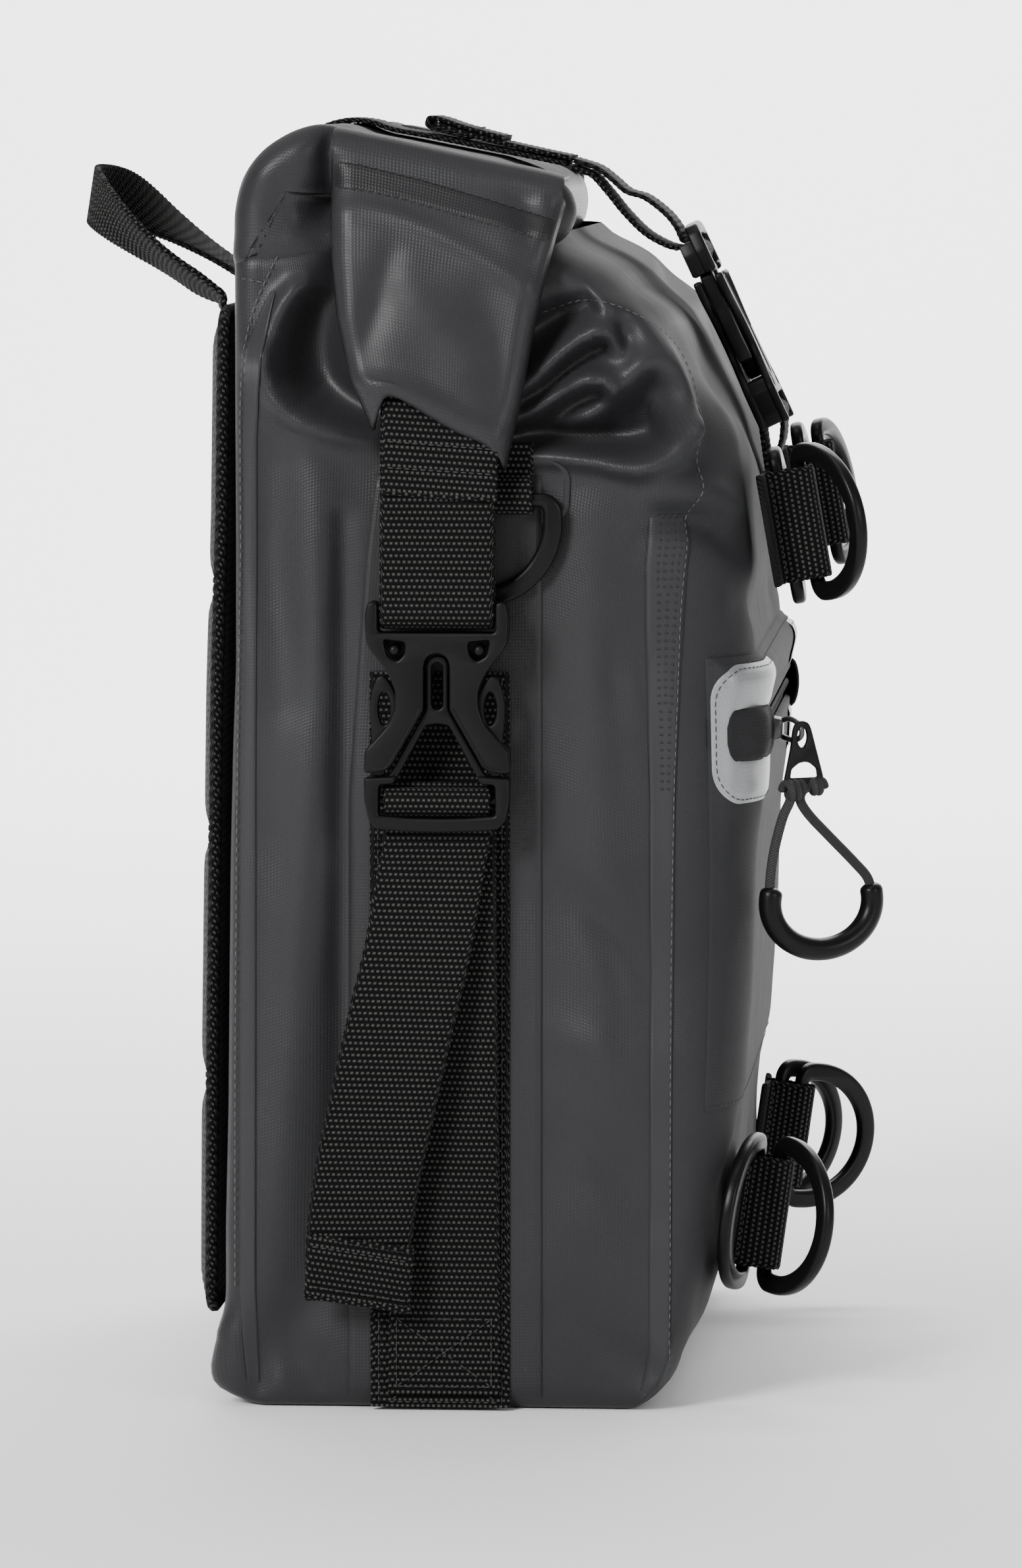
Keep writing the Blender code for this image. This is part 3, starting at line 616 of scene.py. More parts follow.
# Ridges (above 0) and valleys (below 0) of a side. Each is a line of places, with the fold's height
# and width there. A place is how far forward it is, measured round the corners, and its Z.
SIDE_FOLDS = (
    # hollow behind the flap, and its rim
    (
        (-32, 384, -8, 7), (-40, 368, -12, 10), (-41, 350, -14, 11), (-30, 339, -10, 8),
        (-18, 334, -8, 8),
    ),
    (
        (-30, 379, 2, 4), (-40, 378.5, 5, 4), (-48, 376, 7, 4.5), (-54, 367, 7, 5),
        (-58.5, 354, 6, 5),
    ),
    (
        (-58.5, 354, 6, 5), (-57, 343, 7, 5), (-49, 334.5, 8, 4.5), (-36, 329.5, 7, 4.5),
        (-22, 328, 5, 5),
    ),
    # folds in front of the flap, which fan out from under it
    ((22, 356, -6, 7), (36, 366, -9, 6), (48, 373, -7, 5)),
    (
        (24, 341, 3, 4), (31, 347, 7, 4), (40, 354.5, 8, 4), (48.5, 361.5, 9, 4),
        (55, 363.2, 8, 4), (59.4, 358.5, 6, 4),
    ),
    ((27, 339, -5, 3), (36, 344.5, -8, 3.6), (46, 354, -8, 3.8), (53, 357.5, -6, 3)),
    (
        (24, 333, 3, 3), (31, 337, 7, 3.4), (38, 342, 8, 3.6), (47, 346.5, 9, 3.8),
        (53.5, 346.8, 8, 3.8), (57.6, 342.5, 6, 3.6),
    ),
    ((28, 331.5, -4, 3), (37, 334.4, -8, 3.8), (47, 340, -8, 3.6), (53, 342, -6, 3)),
    (
        (20, 327, -7, 4), (32, 327.5, -12, 4.2), (46, 327.6, -15, 4.6), (60, 327.6, -14, 5.4),
        (71, 330.5, -11, 6.4),
    ),
    ((57, 334, -6, 5), (66, 338, -8, 5.4), (76, 343.5, -6, 5.4)),
    ((61, 346, 4, 5), (67, 351.5, 6, 5.5), (75, 352.5, 6, 6), (81, 350, 5, 6)),
    ((62, 358, -4, 5), (66, 364, -4, 6)),
    (
        (22, 322.5, 3, 3.6), (36, 322.5, 7, 3.8), (52, 320.5, 9, 4.2), (66, 317.6, 10, 4.4),
        (78, 322, 10, 5), (86, 331, 9, 5.5),
    ),
    (
        (86, 331, 9, 5.5), (89, 342, 7, 6), (86, 353, 5, 6), (77, 362, 4, 6), (64, 369, 4, 6),
        (46, 375, 3, 6),
    ),
    # crease between the shoulder and the pocket
    ((66, 299, -2, 5), (80, 301, -5, 5), (96, 298, -6, 6), (118, 290, -5, 8), (150, 286, -3, 9)),
    ((74, 309, 3, 5), (92, 309, 4, 6), (108, 303, 3, 7)),
    # slack in the long panels
    ((-56, 318, -1.6, 10), (-58, 286, -2.4, 9), (-50, 240, -1.2, 10)),
    (
        (-46, 322, 1.6, 8), (-42, 290, 2.6, 9), (-44, 210, 2.6, 9), (-48, 160, 2.4, 8),
        (-56, 60, 1.6, 9), (-58, 30, 1.0, 9),
    ),
    ((-33.5, 300, -1.8, 4), (-33.5, 200, -2.6, 4.5), (-34, 120, -2.0, 5), (-34, 60, -0.8, 6)),
    ((52, 300, 1.8, 12), (54, 230, 3.0, 13), (56, 150, 2.4, 14), (54, 70, 1.6, 14)),
    ((40, 176, -1.2, 7), (52, 168, -2.4, 6), (64, 152, -2.6, 7), (72, 132, -1.6, 8)),
    ((38, 128, 0.8, 8), (54, 122, 1.8, 8), (68, 108, 1.2, 8)),
    ((42, 96, -0.8, 7), (58, 84, -1.8, 8), (70, 66, -1.4, 8)),
    ((66, 250, -2.4, 7), (71, 215, -1.8, 8), (72, 190, -0.8, 8)),
    ((-46, 36, -2.2, 9), (-52, 24, -3.2, 9), (-44, 8, -2.0, 8)),
    ((40, 30, -1.2, 9), (58, 18, -2.2, 8), (74, 10, -1.5, 6)),
    # corner of the base, pinched by its weld
    ((-74, 2, 4.5, 5), (-78, 10, 6.5, 6), (-77, 22, 3.5, 8)),
    ((-64, 0, -2.5, 4), (-62, 10, -3.0, 5), (-62, 24, -1.4, 6)),
    ((72, 3, 2.0, 4), (77, 14, 2.0, 6), (78, 34, 1.0, 10)),
)
# The same for the front, by how far a place is across from the middle and its Z
FRONT_FOLDS = (
    ((20, 300, 2, 16), (70, 318, 3, 16), (110, 330, 2, 14)),
    ((0, 376, -2, 7), (50, 376, -4, 7), (100, 379, -5, 7), (135, 378, -3, 7)),
    ((40, 352, -2.0, 10), (90, 345, -3.0, 12), (125, 352, -2, 10)),
    ((0, 270, -1.5, 12), (60, 268, -2.5, 10), (128, 272, -3, 9)),
    ((30, 60, 1.5, 20), (100, 54, 2.0, 16)),
    ((96, 92, -1.5, 10), (124, 70, -3.0, 10), (138, 40, -2, 9)),
    ((0, 18, -1.5, 8), (80, 16, -2.5, 8), (130, 20, -2, 8)),
)
TABLE_STEP = 0.5


def section_table():
    """Back, seam and front of the body at small steps of height, eased between the stations."""
    stations = np.array(STATIONS, float)
    heights = np.arange(0, stations[-1, 0] + TABLE_STEP, TABLE_STEP)
    table = np.stack([np.interp(heights, stations[:, 0], stations[:, k]) for k in (1, 2, 3)], 1)
    reach = np.clip(heights / TABLE_STEP, 0, 10).astype(int)
    last = len(heights) - 1
    eased = [table[max(0, k - r) : min(last, k + r) + 1].mean(0) for k, r in enumerate(reach)]
    return heights, np.array(eased)


HEIGHTS, SECTIONS = section_table()


def section_at(z):
    """Back, seam and front of the body at a height."""
    return [np.interp(z, HEIGHTS, SECTIONS[:, k]) for k in range(3)]


def half_width(z):
    return HALF_WIDTH - 4.5 * np.exp(-np.asarray(z) / 2.5) - 5 * smoothed(384, 396, z)


@functools.cache
def fold_line(corners):
    return through(corners, 5.0)


def fold_height(folds, a, b):
    """Sum of the ridges and valleys at a place."""
    total = np.zeros(np.broadcast(a, b).shape)
    for corners in folds:
        line = fold_line(corners)
        nearest = np.full(total.shape, np.inf)
        value = np.zeros(total.shape)
        for start, end in zip(line, line[1:]):
            run = end[:2] - start[:2]
            t = np.clip(((a - start[0]) * run[0] + (b - start[1]) * run[1]) / (run @ run), 0, 1)
            away = np.hypot(a - start[0] - t * run[0], b - start[1] - t * run[1])
            height = start[2] + (end[2] - start[2]) * t
            width = start[3] + (end[3] - start[3]) * t
            closer = away < nearest
            nearest = np.where(closer, away, nearest)
            value = np.where(closer, height * np.exp(-((away / width) ** 2)), value)
        total += value
    return total


def body_point(q, z, lift=0.0):
    """Points of the right half of the body. q is the distance forward on the side, and goes on
    round the front corner to the middle of the front, and round the back corner to the middle of
    the back."""
    q, z = np.broadcast_arrays(np.asarray(q, float), np.asarray(z, float))
    back, seam, front = section_at(z)
    wide = half_width(z)
    turn = np.clip((q - seam) / FRONT_CORNER, 0, math.pi / 2)
    past = np.clip(q - seam - FRONT_CORNER * math.pi / 2, 0, None)
    corner_x = seam + (front - seam) * np.sin(turn)
    corner_y = wide - FRONT_CORNER * (1 - np.cos(turn)) - past
    side_start = back + BACK_CORNER
    behind = np.clip((side_start - q) / BACK_CORNER, 0, math.pi / 2)
    further = np.clip(side_start - q - BACK_CORNER * math.pi / 2, 0, None)
    back_x = side_start - BACK_CORNER * np.sin(behind)
    back_y = wide - BACK_CORNER * (1 - np.cos(behind)) - further
    x = np.where(q < side_start, back_x, np.where(q > seam, corner_x, q))
    y = np.where(q < side_start, back_y, np.where(q > seam, corner_y, wide))
    normal_x = np.where(q > seam, np.sin(turn), -np.sin(behind) * (q < side_start))
    normal_y = np.where(q > seam, np.cos(turn), np.where(q < side_start, np.cos(behind), 1.0))
    low_end = smoothed(-0.5, 6, z)
    side_share = 1 - smoothed(30, 62, q - seam)
    rise = fold_height(SIDE_FOLDS, q, z) * side_share * low_end
    rise += fold_height(FRONT_FOLDS, y, z) * smoothed(18, 50, q - seam) * low_end
    rise = rise * (1 - smoothed(372, 392, z) * (q > seam - 30)) + lift
    x = x + normal_x * rise
    y = y + normal_y * rise
    return np.stack([x, -y, z], -1)


def mirrored_y(points, side):
    """Points of the right side taken to a side."""
    points = np.array(points, float)
    if side == LEFT:
        points[..., 1] *= -1
    return points


def body_columns(z):
    """Places round the right half of the body at a height, from the middle of the back to the
    middle of the front, closest together where the folds and corners are."""
    back, seam, _ = section_at(z)
    side_start = back + BACK_CORNER
    back_end = side_start - BACK_CORNER * math.pi / 2
    wide = half_width(z)
    corner_end = seam + FRONT_CORNER * math.pi / 2
    runs = (
        (back_end - (wide - BACK_CORNER), back_end, 22),
        (back_end, side_start, 7),
        (side_start, seam, 82),
        (seam, corner_end, 28),
        (corner_end, corner_end + wide - FRONT_CORNER, 30),
    )
    return np.concatenate([a + (b - a) * np.arange(n) / n for a, b, n in runs] + [[runs[-1][1]]])


def body_grid():
    low = [0, 0.6, 1.5, 3, 5, 7.5]
    heights = np.array(low + list(np.arange(10, 300, 2.9)) + list(np.arange(300, 396.1, 1.8)))
    rows = []
    for z in heights:
        half = body_point(body_columns(z), z)
        other = half[1:-1][::-1] * (1, -1, 1)
        rows.append(np.concatenate([half, other]))
    grid = np.array(rows)
    middle = np.array([4.0, 0, 0])  # of the base
    shares = (0.02, 0.3, 0.7, 0.95, 0.985)
    base = [middle + (grid[0] - middle) * (share, share, 1) for share in shares]
    return np.concatenate([base, grid])


def surface_strip(q_low, q_high, heights, lift, finish, side, columns):
    """A band of tape on the body between two lines, each a function of height or a number."""
    heights = np.asarray(heights, float)
    lows = np.array([q_low(z) if callable(q_low) else q_low for z in heights])
    highs = np.array([q_high(z) if callable(q_high) else q_high for z in heights])
    shares = np.r_[0, 0.004, np.linspace(0, 1, columns + 2)[1:-1], 0.996, 1]
    q = lows[:, None] + (highs - lows)[:, None] * shares
    rise = np.full(q.shape, lift)
    rise[:, [0, -1]] = -0.5
    rise[[0, -1]] = -0.5
    points = mirrored_y(body_point(q, heights[:, None], rise), side)
    return object_from(grid_mesh("strip", points), finish)


def q_at(x, z):
    """Distance forward round the side of a place given by its X and height."""
    _, seam, front = section_at(z)
    share = np.clip((x - seam) / (front - seam), 0, 1)
    return x if x <= seam else float(seam + FRONT_CORNER * math.asin(share))


def body_stitches(corners, side, pitch, radius, finish):
    """Stitches along a smooth line of places given by X and height on a side of the body."""
    line = through([(x, z) for x, z in corners], 0.7)
    q = np.array([q_at(x, z) for x, z in line])
    points = mirrored_y(body_point(q, line[:, 1], 0.75), side)
    return stitches(points, (0.25, side, 0), pitch, pitch * 0.62, radius, finish)


def line_at(corners):
    """A function that gives X at a height from places of a line, given by height and X."""
    heights, places = zip(*sorted(corners))
    return lambda z: q_at(float(np.interp(z, heights, places)), z)


# Sewn seams of a side, by X and height
BACK_SEAM = (
    (-37.4, 395.4), (-47, 392.8), (-53.6, 389.6), (-58.2, 381.2), (-62.7, 370.8), (-65.3, 359),
    (-67.3, 343.5), (-68, 326), (-68.4, 290), (-69, 207), (-69.8, 120), (-69.8, 40),
)
GUSSET_SEAM = (
    (33, 369), (45.7, 373.2), (54.8, 372.6), (65.2, 367.8), (74.3, 361.2), (80.1, 354.6),
    (83.4, 345.6), (85.3, 333), (84.4, 321.4), (85.5, 313), (84, 304), (82, 292), (80, 270),
    (79, 240), (78, 207), (77.2, 150), (77, 90), (77, 40), (76.5, 14),
)
# Edges of the welded tapes, by height and X
BASE_STRIP_BACK = ((3, -31.8), (207, -31.6), (287, -25.7), (318, -22.0))
RING_PATCH_FRONT = (
    (298, 36), (301, 41), (304, 43), (314, 43.5), (317, 42.4), (319, 40), (320.6, 36),
)
BACK_TAPE_BACK = (
    (3, -66), (40, -68.4), (207, -68.3), (326, -67.4), (343, -66.6), (359, -64.4), (371, -60),
    (378, -56),
)
BACK_TAPE_FRONT = (
    (3, -62), (40, -63), (207, -62.6), (326, -62), (343, -61), (359, -58.6), (371, -56.5),
    (378, -55),
)
FRONT_TAPE_BACK = ((3, 66), (20, 70), (100, 70.4), (207, 70), (250, 68.6), (285, 68.4), (303, 70))
FRONT_TAPE_FRONT = ((3, 74), (20, 77), (100, 77.4), (207, 78.4), (250, 80), (285, 82), (303, 84.6))
# Sewn lines of a side: the line, the stitches' pitch and radius, and the thread
SEWN_LINES = (
    (BACK_SEAM, 3.2, 0.20, SEAM_THREAD),
    (GUSSET_SEAM, 3.0, 0.20, SEAM_THREAD),
    (((28.4, 296), (28.4, 12)), 3.2, 0.17, THREAD),
    (((-69.5, 394.6), (-60, 393.2), (-54, 391)), 3.0, 0.18, THREAD),
    (((-70, 380.8), (-64, 380), (-59.5, 379)), 3.0, 0.18, SEAM_THREAD),
)


def body_tapes(side):
    """The welded tapes and sewn lines of one side."""
    made = []

    def tape(low, high, heights, lift, finish, columns):
        made.append(surface_strip(low, high, heights, lift, finish, side, columns))

    tall = np.r_[np.arange(2, 300, 3.0), 301, 305, 310, 315, 315.6]
    tape(line_at(BASE_STRIP_BACK), 33.8, tall, 0.9, FABRIC, 24)
    tape(10, line_at(RING_PATCH_FRONT), np.linspace(298, 320.6, 18), 0.7, FABRIC, 12)
    edges = line_at(BACK_TAPE_BACK), line_at(BACK_TAPE_FRONT)
    tape(*edges, np.arange(6, 379, 3.0), 0.6, FABRIC_LIGHT, 5)
    low, high = line_at(FRONT_TAPE_BACK), line_at(FRONT_TAPE_FRONT)
    tape(low, high, np.arange(5, 304, 2.8), 0.6, FABRIC_LIGHT, 7)
    # rows of pressed dots on the upper part of the front tape, each second one a little higher
    heights = np.arange(210, 302, 2.6)
    ends = np.array([(low(z) + 3, high(z) - 2) for z in heights])
    dots = ends[:, :1] + (ends[:, 1:] - ends[:, :1]) * np.linspace(0, 1, 5)
    for row in body_point(dots, heights[:, None] + 0.6 * (np.arange(5) % 2), 0.62):
        row = mirrored_y(row, side)
        made.append(stitches(row, (0.3, side, 0), 2.6, 1.1, 0.34, FABRIC_LIGHT))
    return made + [body_stitches(line, side, *thread) for line, *thread in SEWN_LINES]


def make_body():
    mesh = grid_mesh("body", body_grid(), wrap=True, cap_low=True)
    parts = [object_from(mesh, FABRIC)] + body_tapes(RIGHT) + body_tapes(LEFT)
    made = joined("bag_fabric", parts)
    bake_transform(made)
    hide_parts("bag_shell")


# ---- Rolled closure ----

# Outline of the roll from its side, by X and Z
ROLL_PROFILE = (
    (-69.6, 384), (-70.2, 396), (-69.6, 405), (-66.8, 414.5), (-60.5, 423), (-52, 428.8),
    (-44, 431.6), (-37, 431.4), (-30, 428.6), (-18, 426.2), (0, 422.6), (20, 418.6), (33, 415.6),
    (40, 412.6), (44, 408), (45, 402), (42.6, 395.8), (37, 391.6), (26, 391), (10, 394),
    (-4, 396), (-20, 393), (-40, 386), (-58, 381.5),
)
ROLL_HALF = 148.0
ROLL_EDGE = 9.0
ROLL_FOLDS = (
    ((-50, 402, -2, 6), (-42, 402, -7, 8), (-35, 402, -9, 8)),
    ((-37.5, 428, -4, 4), (-37.5, 418, -6, 5), (-37, 408, -7, 6)),
    ((-60, 417, 2, 8), (-50, 423, 2, 7)),
)


def closed_through(points, count):
    """Evenly spaced points on a smooth closed curve."""
    p = np.array(points, float)
    looped = through(np.vstack([p[-2:], p, p[:3]]), 0.5)
    start = np.argmin(np.linalg.norm(looped[:60] - p[0], axis=1))
    stop = len(looped) - 60 + np.argmin(np.linalg.norm(looped[-60:] - p[0], axis=1))
    loop = looped[start:stop]
    return even(loop, (len(loop) - 1) * 0.5 / count)[:-1]


def pulled_back(x, share):
    """The strap draws the front of the roll back from its middle to its left end."""
    return np.where(x > 12, 12 + (x - 12) * (1 - 0.4 * share), x)


def make_roll():
    outline = closed_through(ROLL_PROFILE, 150)
    tangent = np.roll(outline, -1, 0) - np.roll(outline, 1, 0)
    inward = unit(np.stack([tangent[:, 1], -tangent[:, 0]], 1))
    centre = outline.mean(0)
    if np.mean(np.sum(inward * (centre - outline), 1)) < 0:
        inward = -inward
    rows = []
    low_x, high_x = -52, 34  # ends of the line that the roll's flat ends close on
    spine_z = np.interp(outline[:, 0], (low_x, high_x), (409, 403))
    spine = np.stack([np.clip(outline[:, 0], low_x, high_x), spine_z], 1)
    for share in (0.04, 0.2, 0.36, 0.52, 0.68, 0.84):
        rim = outline + inward * ROLL_EDGE
        flat = spine + (rim - spine) * share
        rows.append(np.insert(flat, 1, -ROLL_HALF, axis=1))
    for turn in np.radians([90, 75, 60, 45, 30, 15]):
        inset = outline + inward * ROLL_EDGE * (1 - math.cos(turn))
        rows.append(np.insert(inset, 1, -ROLL_HALF + ROLL_EDGE * (1 - math.sin(turn)), axis=1))
    half = []
    for y in np.linspace(-ROLL_HALF + ROLL_EDGE, 0, 36):
        sag = 1.1 * math.sin(y / 23.0) + 0.7 * math.sin(y / 9.0 + 1.0)
        lean = np.interp(outline[:, 1], (386, 432), (0, 1))
        bent = outline + np.stack([0.5 * lean * sag, -0.6 * lean * abs(sag)], 1)
        half.append(np.insert(bent, 1, y, axis=1))
    rows = np.array(rows + half)
    near = smoothed(-104, -146, rows[..., 1])
    dent = fold_height(ROLL_FOLDS, rows[..., 0], rows[..., 2]) * near
    rows[..., 1] -= dent * smoothed(0.2, 1.0, near)
    other = rows[:-1][::-1] * (1, -1, 1)
    rows[..., 0] = pulled_back(rows[..., 0], smoothed(-142, -95, rows[..., 1]))
    other[..., 0] = pulled_back(other[..., 0], 1.0)
    rows = np.concatenate([rows, other])
    mesh = grid_mesh("roll_fabric", rows, wrap=True, cap_low=True, cap_high=True)
    settle(object_from(mesh, FABRIC), "roll", ["roll_top"])


# ---- Folded ends of the roll ----

# Left and right edges of the flap, by its depth from 0 at its top to 1 at its hem
FLAP_LEFT = (
    (-36, 429.6), (-36.2, 416), (-36, 402), (-35.4, 387), (-33.5, 368), (-29, 348), (-21.5, 330.5),
)
FLAP_RIGHT = ((41, 413.2), (41, 405), (38.5, 396), (35, 382), (30.5, 360), (27, 340), (22, 317.5))
# How far the hem is above the straight line between its corners, across the flap
FLAP_HEM = (
    (0, 0), (0.03, 4.5), (0.07, 10.5), (0.12, 13.4), (0.2, 13.9), (0.3, 12.8), (0.42, 11.0),
    (0.55, 9.3), (0.65, 8.2), (0.78, 7.5), (0.86, 6.9), (0.93, 5.2), (0.97, 3.2), (1.0, 0),
)
FLAP_ON_TOP = 24.0  # how far the flap's top lies on the roll
FLAP_BEND = 8.0  # radius of its bend over the end of the roll
BEND_END = 12.6  # depth where the bend ends
FLAP_LENGTH = 104.0
FLAP_WIDTH = 60.0
FLAP_SWELL = 17.5  # how far the hanging part is pushed out by the fabric inside it
FLAP_CURL = 5.5  # radius of its rounded side edges
BAND_TOP = ((0.0, 15.5), (0.12, 15.0), (0.4, 17.5), (0.7, 22.5), (1.0, 29.0))
BAND_LOW = ((0.0, 28.5), (0.14, 27.5), (0.3, 29.0), (0.6, 34.5), (1.0, 43.0))
FLAP_FOLDS = (
    (
        (-36, 402.5, 0.6, 3), (-24, 404, 1.0, 2.6), (-10, 400, 1.3, 2.6), (12, 389, 1.3, 3),
        (35, 374, 1.0, 3),
    ),
    ((-22, 396, 0.5, 9), (-12, 382, 0.6, 8), (-6, 370, 0.5, 8), (-12, 356, 0.3, 8)),
    ((-6, 372, 0.4, 6), (2, 364, 0.6, 7), (8, 352, 0.5, 9)),
    ((-16, 388, -1.0, 5), (-20, 372, -1.2, 5), (-25, 358, -0.8, 5)),
    (
        (-27, 345, 1.4, 4), (-18, 346, 2.4, 4), (-8, 343, 2.4, 4), (6, 335, 1.8, 4),
        (18, 329, 1.2, 4),
    ),
    ((16, 374, -1.0, 8), (21, 356, -1.4, 7), (22, 338, -1.0, 6)),
    ((26, 410, -1.4, 6), (30, 398, -2.0, 5), (31, 386, -1.2, 5)),
)


def flap_point(across, depth, lift=0.0):
    """Points of the right flap. across is 0 at its back edge and 1 at its front edge; depth is how
    far down the fabric a point is from where the flap leaves the top of the roll."""
    across, depth = np.broadcast_arrays(np.asarray(across, float), np.asarray(depth, float))
    left, right = np.array(FLAP_LEFT, float), np.array(FLAP_RIGHT, float)
    bend_length = FLAP_BEND * math.pi / 2
    share = np.clip(depth / FLAP_LENGTH, 0, 1)
    knots = np.linspace(0, 1, len(left))
    drop_share = np.where(
        depth < bend_length,
        FLAP_BEND * (1 - np.cos(np.clip(depth, 0, bend_length) / FLAP_BEND)),
        FLAP_BEND + depth - bend_length,
    ) / (FLAP_LENGTH + FLAP_BEND - bend_length)
    drop_share = np.clip(drop_share, 0, 1)
    places = []
    for k in (0, 1):
        a = np.interp(drop_share, knots, left[:, k])
        b = np.interp(drop_share, knots, right[:, k])
        places.append(a + (b - a) * across)
    x, z = places
    hem = smoothed(0.8, 1.0, share)
    z = z + hem * np.interp(across, *zip(*FLAP_HEM))
    start = ROLL_HALF - 5.0
    bent = start + FLAP_BEND * np.sin(np.clip(depth, 0, bend_length) / FLAP_BEND)
    swell = smoothed(-0.35, 1.08, drop_share) * smoothed(0.02, 0.4, drop_share)
    hung = start + FLAP_BEND + FLAP_SWELL * swell
    out = np.where(depth < 0, start + depth, np.where(depth < bend_length, bent, hung))
    hanging = smoothed(0.06, 0.2, drop_share)
    out = out + fold_height(FLAP_FOLDS, x, z) * hanging
    edge = np.minimum(across, 1 - across) * FLAP_WIDTH
    round_part = np.sqrt(np.clip(FLAP_CURL**2 - (FLAP_CURL - edge) ** 2, 0, None))
    curl = np.where(edge < FLAP_CURL, FLAP_CURL - round_part, 0.0)
    out = out - curl * 1.25 * hanging + lift * np.where(depth > bend_length / 2, 1, 0)
    z = z + (0.9 + lift) * np.where(depth <= bend_length / 2, 1, 0) - curl * 0.12 * (1 - hanging)
    return np.stack([x, -out, z], -1)


def flap_on(side, points):
    """Points of the right flap taken to a side. The strap draws the left flap back."""
    points = mirrored_y(points, side)
    if side == LEFT:
        points[..., 0] = pulled_back(points[..., 0], smoothed(350, 395, points[..., 2]))
    return points


def make_flap(side):
    name = SIDE_NAMES[side]
    on_top, round_bend = np.linspace(-FLAP_ON_TOP, 0, 8), np.linspace(0, BEND_END, 8)
    depths = np.r_[on_top[:-1], round_bend[:-1], np.linspace(BEND_END, FLAP_LENGTH, 58)]
    shares = np.r_[0, 0.012, 0.03, 0.055, np.linspace(0.085, 0.915, 44), 0.945, 0.97, 0.988, 1]
    points = flap_on(side, flap_point(shares[None, :], depths[:, None]))
    flap = thickened(object_from(grid_mesh(f"{name}_flap", points), FABRIC), 1.3)
    # a stiffened band under the top of the flap, between two lines of stitching
    steps = np.linspace(0.012, 0.988, 60)
    tops = np.interp(steps, *zip(*BAND_TOP))
    lows = np.interp(steps, *zip(*BAND_LOW))
    rise = np.r_[0.2, np.full(6, 1.05), 0.2]
    strips = zip(np.linspace(0, 1, len(rise)), rise)
    grid = [flap_point(steps, tops + (lows - tops) * share, lift) for share, lift in strips]
    made = [flap, object_from(grid_mesh("tape", flap_on(side, grid)), FABRIC_DARK)]
    for depth in (tops + 1.2, lows - 1.2):
        line = flap_on(side, flap_point(steps, depth, 1.0))
        made.append(stitches(line, (0, side, 0.2), 3.0, 2.0, 0.22))
    settle(joined(f"{name}_flap", made), "roll", [f"{name}_roll_end"])


# ---- Webbing of the two sides ----

X_WAY = (1, 0, 0)


def out_path(points, side, step=0.55):
    """A smooth path from places given by X, how far out from the bag's middle, and Z."""
    return through([(x, side * out, z) for x, out, z in points], step)


def side_wrap():
    """Out and Z, from the buckle's centre, of webbing that turns round the plug's bar."""
    bar = BUCKLE_LENGTH / 2 - PLUG_BAR
    turn = [(-x, z) for x, z in arc((0, bar), (3.5, 3.5), -25, 215, 16)]
    return turn + [(0.6, bar - 4.4), (-2.4, bar - 5.7), (-2.6, bar - 11)]


def cross_stitches(lines, side):
    """Stitches across a strap along lines between places given by X, out and Z."""
    made = []
    for ends in lines:
        line = np.array([(x, side * out, z) for x, out, z in ends], float)
        made.append(stitches(line, (0, side, 0), 2.6, 1.9, 0.3))
    return made


def make_webbing_panel(side):
    path = out_path([(-0.5, 149.2, 0.6), (-0.5, 149.2, 249)], side)
    out = 150.3
    lines = [((x, 150.2, 2), (x, 150.2, 247)) for x in (-21.2, 20.4)]
    lines += [((-18, out, z), (19, out, z)) for z in (2.4, 33, 83)]
    lines += [((-17, out, 3), (18, out, 32)), ((18, out, 3), (-17, out, 32))]
    rows = [band("panel", path, X_WAY, 47)] + cross_stitches(lines, side)
    name = SIDE_NAMES[side]
    settle(joined(f"{name}_panel", rows), "root", [f"{name}_webbing_panel"])


def make_anchor(side):
    """The strap from the base up to the plug, sewn down with a crossed box."""
    name = SIDE_NAMES[side]
    path = [(1, 151.3, 5.6), (1, 151.3, 34), (0.5, 154, 110), (0, 158.7, 190), (0, 158.7, 213)]
    a, b, c, d = [(x, 152.5, z) for x, z in ((-15, 8), (17, 8), (17, 31), (-15, 31))]
    box = cross_stitches([(a, b), (b, c), (c, d), (d, a), (a, c), (b, d)], side)
    strap = band("strap", out_path(path, side), X_WAY)
    settle(joined(f"{name}_anchor", [strap] + box), "root", [f"{name}_anchor_strap"])


